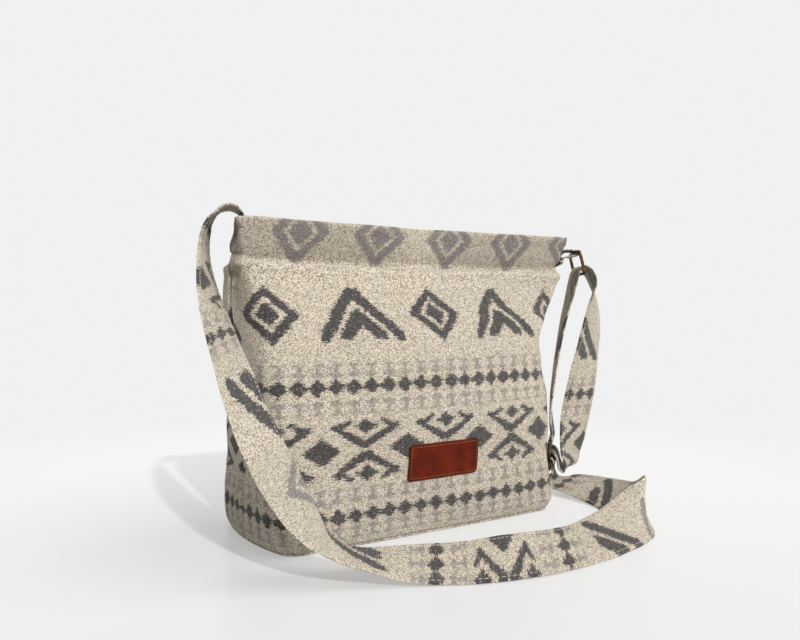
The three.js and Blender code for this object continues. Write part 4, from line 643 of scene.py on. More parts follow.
def level(q):
    x, y = LEVELS[:, 0], LEVELS[:, 1:]
    h = np.diff(x)
    d = np.diff(y, axis=0) / h[:, None]
    m = np.zeros_like(y)
    m[0], m[-1] = d[0], d[-1]
    a, b = d[:-1], d[1:]
    su = a + b
    m[1:-1] = np.where(a * b > 0, 2 * a * b / np.where(su == 0, 1, su), 0)
    q = np.clip(q, x[0], x[-1])
    i = np.clip(np.searchsorted(x, q, side="right") - 1, 0, len(x) - 2)
    t, H = ((q - x[i]) / h[i])[:, None], h[i][:, None]
    return (2 * t ** 3 - 3 * t ** 2 + 1) * y[i] + (t ** 3 - 2 * t ** 2 + t) * H * m[i] + (-2 * t ** 3 + 3 * t ** 2) * y[i + 1] + (t ** 3 - t ** 2) * H * m[i + 1]


def outlines(z):
    c = level(np.asarray(z, float))
    P = [c[:, 0:2], c[:, 2:4], c[:, 4:6], c[:, 6:8]]

    def side(a, b, n, bulge):
        t = (np.arange(n) / n)[None, :, None]
        d = (b - a)[:, None, :]
        L = np.linalg.norm(d, axis=2, keepdims=True)
        nrm = np.stack([d[..., 1], -d[..., 0]], -1) / L
        return a[:, None, :] + d * t + nrm * (bulge[:, None, None] * np.sin(np.pi * t))

    al = np.concatenate([side(P[0], P[1], NF, c[:, 8]), side(P[1], P[2], NS, c[:, 9]), side(P[2], P[3], NF, c[:, 10]), side(P[3], P[0], NS, c[:, 11])], 1)
    k = np.arange(-18, 19)
    w = np.exp(-0.5 * (k / 6) ** 2)
    w /= w.sum()
    sm = sum(np.roll(al, -kk, axis=1) * ww for kk, ww in zip(k, w))
    return np.roll(sm, -(NALL - NS // 2), axis=1)


def cloth_u(arc, z, back):
    if back:
        return 1.02 * arc + 30.0 + 0 * z
    al = np.interp(z, [0, 28, 89, 143, 160, 180, 204.5, 229, 245, 290], [6, 6, 9, 12, 11.5, 9.8, 14.1, 18.4, 19, 19])
    be = np.interp(z, [0, 28, 89, 146, 196, 212, 238, 290], [1.02, 1.02, 1.04, 1.008, 1.015, 1.045, 1.045, 1.04])
    return al + be * arc


def cloth_v(z):
    """Cloth length up the leaning wall at height z."""
    return np.interp(z, [0, 30, 87, 141.5, 156, 180, 204.5, 229.5, 255, 281.5, 290, 690], [0, 30.5, 89, 147.5, 162.3, 187, 211.5, 236.5, 257.5, 284, 292.5, 692.5])


def body_rows(back):
    """Grid of outer points (rows by height, columns along the cloth), with the heights, arc lengths along each row,
    column fractions and column positions.
    """
    zo = np.r_[np.linspace(2.8, 12, 8), np.arange(13.5, 289.6, 1.5)]
    O = outlines(zo)
    ext = np.concatenate([O, O[:, :1]], 1)
    i0, i1 = (SEAM, NALL) if back else (0, SEAM)
    cols = np.linspace(i0 + 0.25, i1 - 0.25, 300)
    f = np.floor(cols).astype(int)
    fr = (cols - f)[None, :, None]
    X = ext[:, f] * (1 - fr) + ext[:, np.minimum(f + 1, NALL)] * fr
    Z = np.repeat(zo[:, None], len(cols), 1)
    arc = np.concatenate([np.zeros((len(zo), 1)), np.cumsum(np.linalg.norm(np.diff(X, axis=1), axis=2), 1)], 1)
    t = (cols - i0) / (i1 - i0)
    return X, Z, arc, t, cols


def gauss(x, w):
    return np.exp(-(x / w) ** 2)


def relief(arc, Z, tot, back):
    """Outward displacement in mm: seams, crease under the hem, folds, soft unevenness."""
    d = 0 * Z
    sd = 900 if back else 0
    # crease and the puffed cloth below it
    wavy = 1.5 * smooth_noise(arc + sd, Z * 0, 55, 5)
    strength = np.ones_like(Z) if back else 1 - 0.55 * gauss(arc - 212, 20)
    zc = Z - 257 - wavy
    sm = lambda x: np.clip(x, 0, 1) ** 2 * (3 - 2 * np.clip(x, 0, 1))
    inner = sm(arc / 40) * sm((tot - arc) / 40)
    tuck = np.where(zc < 0, sm((zc + 11) / 11), 1 - np.clip(zc / 31, 0, 1))
    rim = np.clip(zc / 31, 0, 1) * inner
    d += strength * (-(0.6 + 8.9 * inner) * tuck + 4.0 * rim - 1.4 * gauss(zc, 1.4) + (0.6 + 3.0 * inner) * gauss(zc + 9, 6.5) + 1.0 * gauss(zc - 7, 6.0))
    d += 3.0 * (1 - sm(arc / 30)) * gauss(Z - 262, 14) - 1.5 * (1 - sm(arc / 30)) * gauss(Z - 236, 12)
    if not back:
        d += 4.0 * gauss(Z - 176, 24) * sm((arc - 340) / 50)
    # side seams
    d += -1.6 * gauss(arc, 1.6) - 1.6 * gauss(arc - tot, 1.6)
    d += 0.8 * gauss(arc - 4.5, 3.0) + 0.8 * gauss(arc - tot + 4.5, 3.0)
    # soft unevenness, smaller near the hem and base
    k = np.clip(Z / 25, 0, 1) * np.clip((250 - Z) / 30, 0, 1)
    d += k * (1.7 * smooth_noise(arc + sd, Z, 62, 11) + 0.8 * smooth_noise(arc + sd, Z, 27, 12) + 0.3 * smooth_noise(arc + sd, Z, 11, 13))
    d += 0.35 * smooth_noise(arc + sd, Z, 9, 14) * np.clip((Z - 250) / 8, 0, 1)
    if not back:
        # diagonal fold at the upper left, creases under the hem
        for (x0, z0, x1, z1, amp, w) in (
            (38, 254, 8, 232, -2.2, 3.0), (44, 250, 14, 226, 1.6, 5.0), (60, 252, 48, 226, -1.0, 5.0), (112, 250, 104, 228, -0.9, 6.0),
            (330, 252, 350, 224, -1.1, 5.0), (372, 247, 390, 214, -1.8, 4.5), (402, 246, 398, 196, 1.8, 6.0), (388, 186, 366, 160, -1.0, 5.0),
            (395, 170, 372, 120, 1.2, 8.0), (30, 60, 60, 10, 1.4, 7.0), (72, 40, 58, 4, -1.5, 5.0), (340, 30, 362, 3, -1.0, 6.0), (20, 120, 34, 60, -1.2, 7.0),
        ):
            dx, dz = x1 - x0, z1 - z0
            L2 = dx * dx + dz * dz
            tt = np.clip(((arc - x0) * dx + (Z - z0) * dz) / L2, 0, 1)
            dist = np.hypot(arc - x0 - tt * dx, Z - z0 - tt * dz)
            d += amp * gauss(dist, w) * np.sin(np.pi * np.clip(0.15 + 0.7 * tt, 0, 1))
    else:
        for (x0, z0, x1, z1, amp, w) in ((60, 250, 70, 220, -1.2, 6.0), (180, 252, 175, 224, -1.0, 6.0), (300, 250, 322, 215, -1.6, 6.0), (390, 60, 400, 10, 1.4, 8.0), (90, 40, 80, 5, -1.2, 6.0)):
            dx, dz = x1 - x0, z1 - z0
            L2 = dx * dx + dz * dz
            tt = np.clip(((arc - x0) * dx + (Z - z0) * dz) / L2, 0, 1)
            dist = np.hypot(arc - x0 - tt * dx, Z - z0 - tt * dz)
            d += amp * gauss(dist, w)
    return d


def build_panel(name, back):
    X, Z, arc, t, cols = body_rows(back)
    tot = arc[:, -1:]
    XYZ = np.concatenate([X, Z[..., None]], 2)
    du = np.gradient(XYZ, axis=1)
    dz = np.gradient(XYZ, axis=0)
    N = np.cross(du, dz)
    N /= np.linalg.norm(N, axis=2, keepdims=True)
    d = relief(arc, Z, tot, back)
    P = XYZ + N * d[..., None]
    s = np.clip((Z - 200) / 90, 0, 1)
    sagv = RIM_SAG * np.sin(np.pi * np.broadcast_to(t[None, :], Z.shape)) * s * s * (3 - 2 * s)
    P[..., 2] -= sagv
    # rim, turned in, and the hem's inner face down to the zip, then the lining side
    last, Nl = P[-1], N[-1] * [1, 1, 0]
    Nl = Nl / np.linalg.norm(Nl, axis=1)[:, None]
    rim_w = 0.5 * smooth_noise(arc[-1] + (900 if back else 0), arc[-1] * 0, 18, 31)
    rows = [P]
    extra = []
    zc = arc[-1] * 0
    for off, up in ((0.35, 0.9), (1.2, 1.7), (2.4, 1.8), (3.5, 1.0), (3.9, 0.0)):
        q = last - Nl * off
        q[:, 2] += up + rim_w * 0.6
        extra.append(q)
    base_in = XYZ - N * 0
    ze = [290.5, 291.7, 292.9, 294.1, 295.3]
    for zt in (284, 278, 272, 266, 260, 256, 252):
        kk = int(np.argmin(np.abs(Z[:, 0] - max(zt, 259))))
        q = XYZ[kk] + N[kk] * [1, 1, 0] * (d[kk][:, None] - 4.0)
        q[:, 2] = zt - sagv[int(np.argmin(np.abs(Z[:, 0] - zt)))]
        extra.append(q)
        ze.append(586 - zt)
    for zt in list(range(251, 10, -6)) + [8, 4]:
        k = int(np.argmin(np.abs(Z[:, 0] - zt)))
        off = np.min(d[max(0, k - 4):k + 5], 0)[:, None] - 2.6
        q = XYZ[k] + N[k] * [1, 1, 0] * off
        q[:, 2] = zt - sagv[k]
        extra.append(q)
        ze.append(590 - zt)
    G2 = np.concatenate([P, np.array(extra)], 0)
    # bottom row curls in under the body
    nr, nc = G2.shape[:2]
    verts = G2.reshape(-1, 3)
    idx = np.arange(nr * nc).reshape(nr, nc)
    a, b, c, e = idx[:-1, :-1], idx[:-1, 1:], idx[1:, 1:], idx[1:, :-1]
    faces = np.stack([a, b, c, e], -1).reshape(-1, 4)
    close = np.stack([idx[-1, :-1], idx[-1, 1:], idx[0, 1:], idx[0, :-1]], -1)
    faces = np.concatenate([faces, close], 0).tolist()
    # the cut edges at the two side seams, closed from the outer to the inner layer
    for col, turned in ((0, False), (nc - 1, True)):
        up, inn = list(range(len(P))), list(range(nr - 1, len(P) - 1, -1))
        i = j = 0
        while i < len(up) - 1 or j < len(inn) - 1:
            go_up = j == len(inn) - 1 or (i < len(up) - 1 and G2[up[i + 1], col, 2] <= G2[inn[j + 1], col, 2])
            tri = [idx[up[i], col], idx[up[i + 1], col] if go_up else idx[inn[j + 1], col], idx[inn[j], col]]
            i, j = (i + 1, j) if go_up else (i, j + 1)
            if len(set(tri)) == 3:
                faces.append(tri[::-1] if turned else tri)
    ob = make_mesh(name, verts, faces, [M_BODY])
    zu = np.concatenate([Z, np.repeat(np.array(ze)[:, None], nc, 1)], 0)
    au = np.concatenate([arc, np.repeat(arc[-1:], len(extra), 0)], 0)
    u = cloth_u(au, zu, back)
    v = cloth_v(zu)
    dark, grey, pale = pattern(u, v, (1.037 * au - 13) if not back else u + 43.5)
    dark = np.where(zu > 292, np.minimum(dark, -3), dark)
    # painted shade: the hem band between heights 256 and 291 is a quarter darker, less on the front near arc 212 where
    # the crease fades
    painted_shade_keep = 1 - 0.25 * np.clip((zu - 256) / 3, 0, 1) * np.clip((291 - zu) / 3, 0, 1) * (1 if back else (1 - 0.6 * np.exp(-((au - 212) / 30) ** 2)))
    point_attr(ob, "pale", np.clip(pale, -6, 6).ravel())
    point_attr(ob, "painted_shade_keep", painted_shade_keep.ravel())
    point_attr(ob, "dark", np.clip(dark, -6, 6).ravel())
    point_attr(ob, "grey", np.clip(grey, -6, 6).ravel())
    vec_attr(ob, "cloth_uv", np.stack([au + (500 if back else 0), v, 0 * u], -1).reshape(-1, 3))
    return ob, P, N, arc, Z


front, FP, FN, FARC, FZ = build_panel("front_cloth", False)
back_ob, BP, BN, BARC, BZ = build_panel("back_cloth", True)

# base: slightly hollow sheet with turned edges
def build_base():
    o = outlines([1.0])[0]
    n = 260
    k = np.linspace(0, NALL, n, endpoint=False)
    f = np.floor(k).astype(int)
    fr = (k - f)[:, None]
    loop = o[f] * (1 - fr) + o[(f + 1) % NALL] * fr
    rings, zz = [], []
    c = loop.mean(0)
    for sc, z in ((0.985, 2.9), (1.0, 2.2), (1.0, 1.1), (0.992, 0.2), (0.97, 0.0), (0.9, 0.0), (0.7, 0.1), (0.4, 0.2), (0.12, 0.2)):
        rings.append(np.c_[c + (loop - c) * sc, np.full(n, z)])
    V = np.concatenate(rings, 0)
    F = []
    for r in range(len(rings) - 1):
        for i in range(n):
            j = (i + 1) % n
            F.append((r * n + i, r * n + j, (r + 1) * n + j, (r + 1) * n + i))
    F.append(tuple((len(rings) - 1) * n + i for i in range(n)))
    top = len(V)
    V = np.concatenate([V, [[c[0], c[1], 2.4]]], 0)
    for i in range(n):
        F.append((i, top, (i + 1) % n))
    ob = make_mesh("base_cloth", V, F, [M_BODY])
    u = V[:, 0] + 200
    v = V[:, 1] * 0.6 - 30
    vec_attr(ob, "cloth_uv", np.stack([u, v, 0 * u], 1))
    point_attr(ob, "dark", np.full(len(V), -6.0))
    point_attr(ob, "grey", np.full(len(V), -6.0))
    point_attr(ob, "pale", np.full(len(V), -6.0))
    # painted shade under the bag: the base cloth a tenth darker
    point_attr(ob, "painted_shade_keep", np.full(len(V), 0.9))
    import bmesh
    bm = bmesh.new()
    bm.from_mesh(ob.data)
    bmesh.ops.recalc_face_normals(bm, faces=bm.faces)
    bm.to_mesh(ob.data)
    bm.free()
    return ob


base = build_base()


# ------------------------------------------------------------- leather patch
def surf(P, N, arc, Z, a, z, off):
    """Point of a built panel at cloth arc a and height z, lifted by off."""
    zr = Z[:, 0]
    i = np.clip(np.searchsorted(zr, z) - 1, 0, len(zr) - 2)
    fz = (z - zr[i]) / (zr[i + 1] - zr[i])
    j = np.clip(np.searchsorted(arc[i], a) - 1, 0, arc.shape[1] - 2)
    fa = (a - arc[i, j]) / max(1e-6, arc[i, j + 1] - arc[i, j])
    g = lambda A: (A[i, j] * (1 - fa) + A[i, j + 1] * fa) * (1 - fz) + (A[i + 1, j] * (1 - fa) + A[i + 1, j + 1] * fa) * fz
    return g(P) + g(N) * off


PATCH_W, PATCH_H, PATCH_T, PATCH_R = 80.0, 33.0, 1.6, 4.0
PATCH_Z = 70.0


PATCH_A = 225.6


def build_patch():
    W2, H2, r = PATCH_W / 2, PATCH_H / 2, PATCH_R
    xs = np.unique(np.r_[np.linspace(-W2, -W2 + r, 7), np.linspace(-W2 + r, W2 - r, 60), np.linspace(W2 - r, W2, 7)])
    nv = 34
    V, E = [], []
    nx = len(xs)
    ys = np.linspace(-1, 1, nv)
    for lay in (0, 1):
        for x in xs:
            e = max(0.0, abs(x) - (W2 - r))
            h = H2 - r + math.sqrt(max(0.0, r * r - e * e))
            for y in ys:
                yy = y * h
                q = np.array([abs(x) - (W2 - r), abs(yy) - (H2 - r)])
                de = r - (np.hypot(*np.maximum(q, 0)) + min(max(q[0], q[1]), 0))       # distance from the edge
                if lay == 0:
                    off = 0.6
                else:
                    off = 0.6 + PATCH_T * (1 - 0.55 * math.exp(-max(de, 0) / 0.5)) - 0.30 * math.exp(-((de - 2.4) / 0.7) ** 2) + 0.12 * math.exp(-((de - 5) / 2.0) ** 2)
                V.append(surf(FP, FN, FARC, FZ, PATCH_A + x, PATCH_Z + yy, off))
                E.append(math.exp(-max(de, 0) / 0.6) if lay else 1.0)
    V = np.array(V)
    idx = np.arange(2 * nx * nv).reshape(2, nx, nv)
    F = []
    for i in range(nx - 1):
        for j in range(nv - 1):
            F.append((idx[1, i, j], idx[1, i + 1, j], idx[1, i + 1, j + 1], idx[1, i, j + 1]))
            F.append((idx[0, i, j], idx[0, i, j + 1], idx[0, i + 1, j + 1], idx[0, i + 1, j]))
    for i in range(nx - 1):
        F.append((idx[0, i, 0], idx[0, i + 1, 0], idx[1, i + 1, 0], idx[1, i, 0]))
        F.append((idx[0, i + 1, -1], idx[0, i, -1], idx[1, i, -1], idx[1, i + 1, -1]))
    for j in range(nv - 1):
        F.append((idx[0, 0, j + 1], idx[0, 0, j], idx[1, 0, j], idx[1, 0, j + 1]))
        F.append((idx[0, -1, j], idx[0, -1, j + 1], idx[1, -1, j + 1], idx[1, -1, j]))
    ob = make_mesh("patch_leather", V, F, [M_LEATHER])
    point_attr(ob, "edge", E)
    return ob


patch = build_patch()


def capsule_line(V, F, pts, nrm, r, sides=6):
    """One short thread along pts, flattened ends."""
    base = len(V)
    m = len(pts)
    for i, p in enumerate(pts):
        t = pts[min(i + 1, m - 1)] - pts[max(i - 1, 0)]
        t = t / np.linalg.norm(t)
        b = np.cross(t, nrm[i])
        b /= np.linalg.norm(b)
        n = np.cross(b, t)
        rr = r * (0.5 if i in (0, m - 1) else 1.0)
        for k in range(sides):
            a = 2 * math.pi * k / sides
            V.append(p + b * rr * math.cos(a) + n * rr * math.sin(a))
    for i in range(m - 1):
        for k in range(sides):
            F.append((base + i * sides + k, base + i * sides + (k + 1) % sides, base + (i + 1) * sides + (k + 1) % sides, base + (i + 1) * sides + k))
    F.append(tuple(base + k for k in range(sides - 1, -1, -1)))
    F.append(tuple(base + (m - 1) * sides + k for k in range(sides)))


def build_patch_stitches():
    W2, H2, ins = PATCH_W / 2 - 2.4, PATCH_H / 2 - 2.4, 2.0
    pts = []
    for cx, cy, a0 in ((W2 - ins, -H2 + ins, -90), (W2 - ins, H2 - ins, 0), (-W2 + ins, H2 - ins, 90), (-W2 + ins, -H2 + ins, 180)):
        for k in range(7):
            a = math.radians(a0 + 15 * k)
            pts.append((cx + ins * math.cos(a), cy + ins * math.sin(a)))
    pts = np.array(pts + pts[:1])
    s = np.r_[0, np.cumsum(np.linalg.norm(np.diff(pts, axis=0), axis=1))]
    n = int(round(s[-1] / 3.1))
    step = s[-1] / n
    V, F = [], []
    for i in range(n):
        a, b = i * step, i * step + step * 0.70
        qs, ns = [], []
        for k, x in enumerate(np.linspace(a, b, 5)):
            px, py = np.interp(x, s, pts[:, 0]), np.interp(x, s, pts[:, 1])
            lift = 0.6 + PATCH_T - 0.16 + 0.22 * math.sin(math.pi * k / 4)
            p0 = surf(FP, FN, FARC, FZ, PATCH_A + px, PATCH_Z + py, lift)
            p1 = surf(FP, FN, FARC, FZ, PATCH_A + px, PATCH_Z + py, lift + 1)
            qs.append(p0)
            ns.append(p1 - p0)
        capsule_line(V, F, qs, ns, 0.27)
    return make_mesh("patch_stitches", V, F, [M_THREAD])


patch_st = build_patch_stitches()


# ---------------------------------------------------------- seam stitching
def seam_zigzag():
    """Zigzag thread down the right side seam."""
    V, F = [], []
    tot = FARC[:, -1]
    z = 8.0
    side = 0
    zr = FZ[:, 0]
    while z < 284:
        i = int(np.argmin(np.abs(zr - z)))
        a = tot[i] - 0.6
        a0, a1 = (a - 2.6, a) if side else (a, a - 2.6)
        p = [surf(FP, FN, FARC, FZ, a0 + (a1 - a0) * f, z + 2.4 * f, 0.25 + 0.25 * math.sin(math.pi * f)) for f in (0, 0.33, 0.66, 1)]
        nn = [surf(FP, FN, FARC, FZ, a0 + (a1 - a0) * f, z + 2.4 * f, 1.3) - q for f, q in zip((0, 0.33, 0.66, 1), p)]
        capsule_line(V, F, p, nn, 0.28, 5)
        side = 1 - side
        z += 2.4
    return make_mesh("seam_stitches", V, F, [M_CREAMTHREAD])


seam_st = seam_zigzag()


# ------------------------------------------------------------------ hardware
def rod_mesh(name, pts, r, closed, sides=20, mat=None, flat=1.0):
    pts = [np.asarray(p, float) for p in pts]
    n = len(pts)
    V, F = [], []
    ref = None
    for k in range(n):
        a = pts[(k - 1) % n if closed else max(0, k - 1)]
        b = pts[(k + 1) % n if closed else min(n - 1, k + 1)]
        T = (b - a) / np.linalg.norm(b - a)
        if ref is None:
            ref = np.array([0, 0, 1.0]) if abs(T[2]) < 0.8 else np.array([1.0, 0, 0])
        U = ref - T * ref.dot(T)
        U /= np.linalg.norm(U)
        ref = U
        Vv = np.cross(T, U)
        for i in range(sides):
            t = 2 * math.pi * i / sides
            V.append(pts[k] + U * r * math.cos(t) + Vv * r * flat * math.sin(t))
    m = n if closed else n - 1
    for s_ in range(m):
        for i in range(sides):
            j = (i + 1) % sides
            a, b = s_ * sides, ((s_ + 1) % n) * sides
            F.append((a + i, a + j, b + j, b + i))
    if not closed:
        F.append(tuple(range(sides - 1, -1, -1)))
        F.append(tuple((n - 1) * sides + i for i in range(sides)))
    return V, F


def rounded_loop(c, A, D, hl, h0, h1, rc, seg=10):
    """Rounded rectangle, A across and D along, from h0 to h1 along D."""
    pts = []
    cs = [(-hl, h0), (hl, h0), (hl, h1), (-hl, h1)]
    for q in range(4):
        x, y = cs[q]
        p, n = cs[q - 1], cs[(q + 1) % 4]
        u = (np.sign(p[0] - x), np.sign(p[1] - y))
        w = (np.sign(n[0] - x), np.sign(n[1] - y))
        ox, oy = x + (u[0] + w[0]) * rc, y + (u[1] + w[1]) * rc
        for k in range(seg + 1):
            t = k / seg * math.pi / 2
            pts.append(c + A * (ox - w[0] * rc * math.cos(t) - u[0] * rc * math.sin(t)) + D * (oy - w[1] * rc * math.cos(t) - u[1] * rc * math.sin(t)))
    return pts


RT, RB = np.array([244.7, -8.8, 273.2]), np.array([249.6, -12.0, 249.0])
az = math.radians(32.7)
RA = np.array([math.sin(az), math.cos(az), 0])
RD = (RB - RT) / np.linalg.norm(RB - RT)
V, F = rod_mesh("", rounded_loop(RT, RA, RD, 57 / 2 - 1.8, 0, float(np.linalg.norm(RB - RT)), 4.5), 1.8, True, 24)
ring = make_mesh("ring_brass", V, F, [M_METAL])

AC = np.array([209.5, -6.0, 44.0])
az = math.radians(46)
AA = np.array([math.sin(az), math.cos(az), 0])
AZ = np.array([0, 0, 1.0])
V, F = rod_mesh("", rounded_loop(AC, AA, AZ, 57 / 2 - 1.6, -16, 16, 3.0), 1.6, True, 24)
V2, F2 = rod_mesh("", [AC - AA * 26.6, AC - AA * 10, AC + AA * 10, AC + AA * 26.6], 1.6, False, 24)
F = F + [tuple(i + len(V) for i in f) for f in F2]
adj = make_mesh("adjuster_brass", V + V2, F, [M_METAL])

for n in ("zip_teeth_front", "zip_teeth_back", "zip_slider", "zip_pull"):
    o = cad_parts[n]
    o.data.materials.clear()
    o.data.materials.append(M_METAL)
row = int(np.argmin(np.abs(FZ[:, 0] - 252)))
TAPES = []
for n, P_, sg in (("zip_tape_front", FP, 1), ("zip_tape_back", BP, -1)):
    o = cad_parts[n]
    co = np.array([tuple(o.matrix_world @ v.co) for v in o.data.vertices]) / MM
    order = np.argsort(P_[row, :, 0])
    lim = np.max([sg * np.interp(co[:, 0], P_[k, order, 0], P_[k, order, 1]) for k in range(row - 2, row + 5)], 0) + 2.8
    co[:, 1] = sg * np.maximum(sg * co[:, 1], lim)
    TAPES.append((make_mesh(n.replace("zip_", "zip_cloth_"), co, [tuple(p.vertices) for p in o.data.polygons], [M_TAPE], False), n))


# ----------------------------------------------------------------- ring tab
TAB_ROWS = [
    ((234.84, 7.60, 288.00), (0.289, 0.957, 0.000)),
    ((233.80, 7.15, 284.00), (0.289, 0.957, 0.000)),
    ((232.21, 6.40, 277.50), (0.302, 0.953, 0.000)),
    ((235.20, 2.68, 276.33), (0.367, 0.930, 0.000)),
    ((239.40, -2.52, 276.42), (0.493, 0.870, 0.000)),
    ((244.19, -8.47, 276.04), (0.540, 0.842, 0.000)),
    ((244.91, -8.94, 276.09), (0.540, 0.842, 0.000)),
    ((245.61, -9.39, 275.89), (0.540, 0.842, 0.000)),
    ((246.24, -9.79, 275.45), (0.540, 0.842, 0.000)),
    ((246.72, -10.10, 274.82), (0.540, 0.842, 0.000)),
    ((247.03, -10.30, 274.05), (0.540, 0.842, 0.000)),
    ((247.14, -10.37, 273.20), (0.540, 0.842, 0.000)),
    ((247.03, -10.30, 272.35), (0.540, 0.842, 0.000)),
    ((246.72, -10.10, 271.58), (0.540, 0.842, 0.000)),
    ((246.24, -9.79, 270.95), (0.540, 0.842, 0.000)),
    ((245.61, -9.39, 270.51), (0.540, 0.842, 0.000)),
    ((244.91, -8.94, 270.31), (0.540, 0.842, 0.000)),
    ((244.19, -8.47, 270.36), (0.540, 0.842, 0.000)),
    ((238.51, -3.64, 269.44), (0.493, 0.870, 0.000)),
    ((232.02, 1.89, 267.99), (0.367, 0.930, 0.000)),
    ((227.59, 5.12, 264.50), (0.302, 0.953, 0.000)),
    ((224.15, 4.34, 257.00), (0.289, 0.957, 0.000)),
]


def build_tab():
    """Cloth tab: down the end of the band, round the ring's top bar and back."""
    tw, tt = 40.0, 1.7
    rows = [(np.array(c), np.array(w)) for c, w in TAB_ROWS]
    P, W = np.array([r[0] for r in rows]), np.array([r[1] for r in rows])
    # even out the spacing, then cut the corners
    ds = np.r_[0, np.cumsum(np.linalg.norm(np.diff(P, axis=0), axis=1))]
    q = np.linspace(0, ds[-1], 64)
    P = np.stack([np.interp(q, ds, P[:, k]) for k in range(3)], 1)
    W = np.stack([np.interp(q, ds, W[:, k]) for k in range(3)], 1)
    for _ in range(2):
        P = np.concatenate([P[:1], np.stack([P[:-1] * 0.75 + P[1:] * 0.25, P[:-1] * 0.25 + P[1:] * 0.75], 1).reshape(-1, 3), P[-1:]])
        W = np.concatenate([W[:1], np.stack([W[:-1] * 0.75 + W[1:] * 0.25, W[:-1] * 0.25 + W[1:] * 0.75], 1).reshape(-1, 3), W[-1:]])
    T = np.gradient(P, axis=0)
    T /= np.linalg.norm(T, axis=1)[:, None] + 1e-9
    W -= T * np.sum(T * W, 1)[:, None]
    W /= np.linalg.norm(W, axis=1)[:, None]
    N = np.cross(T, W)
    s = np.r_[0, np.cumsum(np.linalg.norm(np.diff(P, axis=0), axis=1))]
    nc = 27
    x = np.linspace(-1, 1, nc)
    th = tt / 2 * np.clip(1 - np.exp(-(1 - np.abs(x)) * 20 / 0.7), 0.15, 1)
    ac = x * tw / 2
    top = P[:, None] + W[:, None] * ac[None, :, None] + N[:, None] * th[None, :, None]
    bot = P[:, None] + W[:, None] * ac[None, :, None] - N[:, None] * th[None, :, None]
    ringv = np.concatenate([top, bot[:, ::-1]], 1)
    R = 2 * nc
    n = len(P)
    F = []
    for i in range(n - 1):
        for j in range(R):
            k = (j + 1) % R
            F.append((i * R + j, i * R + k, (i + 1) * R + k, (i + 1) * R + j))
    for j in range(nc - 1):
        F.append((j, R - 1 - j, R - 2 - j, j + 1))
        b = (n - 1) * R
        F.append((b + j, b + j + 1, b + R - 2 - j, b + R - 1 - j))
    ob = make_mesh("tab_cloth", ringv.reshape(-1, 3), F, [M_BODY])
    u = np.concatenate([np.broadcast_to(ac, (n, nc)), np.broadcast_to(ac, (n, nc))[:, ::-1]], 1).ravel() + 110
    v = np.repeat(s[:, None], R, 1).ravel() + 300
    vec_attr(ob, "cloth_uv", np.stack([u, v, 0 * u], 1))
    point_attr(ob, "dark", np.full(len(u), -6.0))
    point_attr(ob, "grey", np.full(len(u), -6.0))
    point_attr(ob, "pale", np.full(len(u), -6.0))
    point_attr(ob, "painted_shade_keep", np.ones(len(u)))
    import bmesh
    bm = bmesh.new()
    bm.from_mesh(ob.data)
    bmesh.ops.recalc_face_normals(bm, faces=bm.faces)
    bm.to_mesh(ob.data)
    bm.free()
    return ob


tab = build_tab()

# --------------------------------------------------- what rides on which body
for ob, body, nodes, slot in (
    (front, "bag", ["front_panel"], "body_cloth"), (back_ob, "bag", ["back_panel"], "body_cloth"), (base, "bag", ["base_panel"], "body_cloth"),
    (patch, "bag", ["leather_patch"], "patch_leather"), (patch_st, "bag", ["patch_stitching"], "stitch_thread"), (seam_st, "bag", [], "stitch_thread"),
    (tab, "bag", ["ring_tab"], "body_cloth"), (TAPES[0][0], "bag", ["zip_tape_front"], "zip_tape"), (TAPES[1][0], "bag", ["zip_tape_back"], "zip_tape"), (ring, "ring", ["strap_ring"], "antique_brass"), (adj, "adjuster", ["strap_adjuster"], "antique_brass"),
):
    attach(ob, body)
    if nodes:
        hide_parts(*nodes)

for ob in (strap, st_main):
    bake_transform(ob)
for ob in (strap_end, st_end):
    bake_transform(ob)
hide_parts("shoulder_strap")
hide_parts("strap_loop_end")


def flat_size(back):
    """The cut of one body panel: its widest row along the cloth, and its height with the edge at the rim."""
    rows = body_rows(back)
    return (round(float(rows[2].max()) * MM, 3), round(float(rows[1].max() - rows[1].min()) * MM, 3))


flat_size(False)
flat_size(True)

# ------------------------------------------------------- floor, light, world
FLOOR_E = 0.37

def stage_mesh(name, verts, faces, mat):
    ob = make_mesh(name, verts, faces, [mat])
    return ob


mf, nt, bs = new_mat("floor")
g = G(nt)
bs.inputs["Base Color"].default_value = (0.37, 0.37, 0.372, 1)
bs.inputs["Roughness"].default_value = 0.3
bs.inputs["Specular IOR Level"].default_value = 0.12
bs.inputs["Emission Color"].default_value = (1, 1, 1, 1)
bs.inputs["Emission Strength"].default_value = FLOOR_E
geo = nt.nodes.new("ShaderNodeNewGeometry").outputs["Position"]
ln = nt.nodes.new("ShaderNodeVectorMath")
ln.operation = "LENGTH"
nt.links.new(geo, ln.inputs[0])
em = nt.nodes.new("ShaderNodeEmission")
em.inputs[0].default_value = (1, 1, 1, 1)
em.inputs[1].default_value = 0.875
mx = nt.nodes.new("ShaderNodeMixShader")
nt.links.new(g.ramp(ln.outputs["Value"], 0.34, 0.86), mx.inputs[0])
nt.links.new(bs.outputs[0], mx.inputs[1])
nt.links.new(em.outputs[0], mx.inputs[2])
nt.links.new(mx.outputs[0], [n for n in nt.nodes if n.type == "OUTPUT_MATERIAL"][0].inputs[0])
n, R0 = 24, 2200.0
V, F = [], []
ys = [-2600, 900]
prof = [(-3000, 0), (1500, 0)]
for k in range(13):
    a = math.radians(90 * k / 12)
    prof.append((1500 + 900 * math.sin(a), 900 - 900 * math.cos(a)))
prof.append((2400, 3200))
ca, sa = math.cos(0.571207), math.sin(0.571207)
for x in (-4500, 4500):
    for y, z in prof:
        V.append((x * ca + y * sa, -x * sa + y * ca, z))
m_ = len(prof)
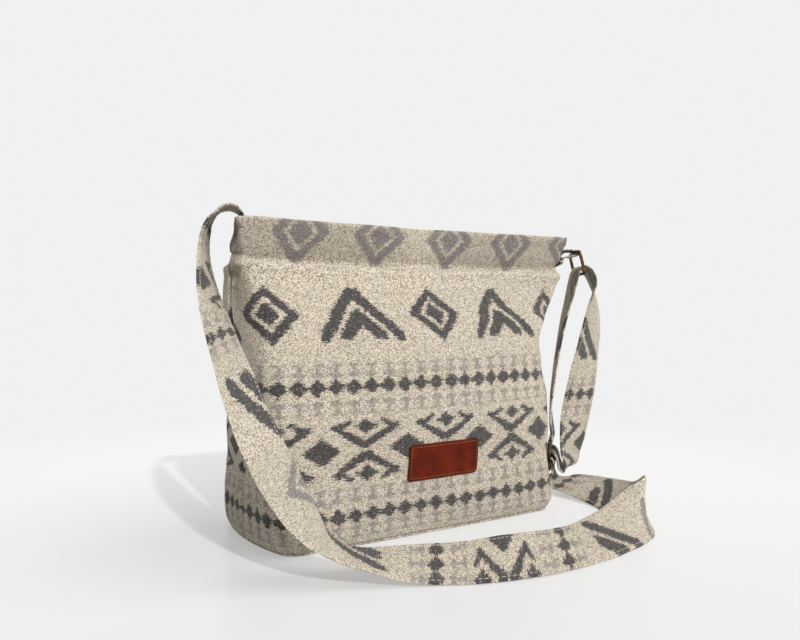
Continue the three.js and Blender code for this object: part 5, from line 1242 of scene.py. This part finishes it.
for i in range(m_ - 1):
    F.append((i, i + 1, m_ + i + 1, m_ + i))
floor = stage_mesh("floor_sweep", V, F, mf)
stage_mesh("floor_far", [(-40000, -40000, -0.6), (40000, -40000, -0.6), (40000, 40000, -0.6), (-40000, 40000, -0.6)], [(0, 1, 2, 3)], mf)

world = bpy.data.worlds.new("world")
scene.world = world
world.use_nodes = True
wn = world.node_tree
bg = wn.nodes["Background"]
bg.inputs[0].default_value = (1.0, 1.0, 1.0, 1)
bg.inputs[1].default_value = 0.3
# the studio wall's brightness just above the floor's horizon, on every side, and a dimmer sky
sky = wn.nodes.new("ShaderNodeTexCoord")
sep = wn.nodes.new("ShaderNodeSeparateXYZ")
mr = wn.nodes.new("ShaderNodeMapRange")
mr.interpolation_type = "SMOOTHSTEP"
for i, val in ((1, 0.14), (2, 0.34), (3, 0.875), (4, 0.17)):
    mr.inputs[i].default_value = val
wn.links.new(sky.outputs["Generated"], sep.inputs[0])
wn.links.new(sep.outputs["Z"], mr.inputs[0])
wn.links.new(mr.outputs[0], bg.inputs[1])


def area(name, loc, target, size, power, color=(1, 1, 1), size_y=None):
    L = bpy.data.lights.new(name, "AREA")
    L.energy = power
    L.size = size
    if size_y:
        L.shape = "RECTANGLE"
        L.size_y = size_y
    L.color = color
    o = bpy.data.objects.new(name, L)
    scene.collection.objects.link(o)
    o.location = loc
    d = Vector(target) - Vector(loc)
    o.rotation_euler = d.to_track_quat("-Z", "Y").to_euler()
    return o


def sun(name, to_light, power, angle, color):
    L = bpy.data.lights.new(name, "SUN")
    L.energy = power
    L.angle = angle
    L.color = color
    o = bpy.data.objects.new(name, L)
    scene.collection.objects.link(o)
    o.rotation_euler = (-Vector(to_light)).to_track_quat("-Z", "Y").to_euler()


sun("key", (-0.13, -0.80, 0.58), 2.6, 0.035, (1.0, 0.985, 0.965))
sun("soft_top", (0.45, -0.45, 0.95), 1.9, 0.9, (1.0, 0.99, 0.975))

scene.view_settings.view_transform = "Standard"
scene.view_settings.look = "None"
scene.view_settings.exposure = 0.0
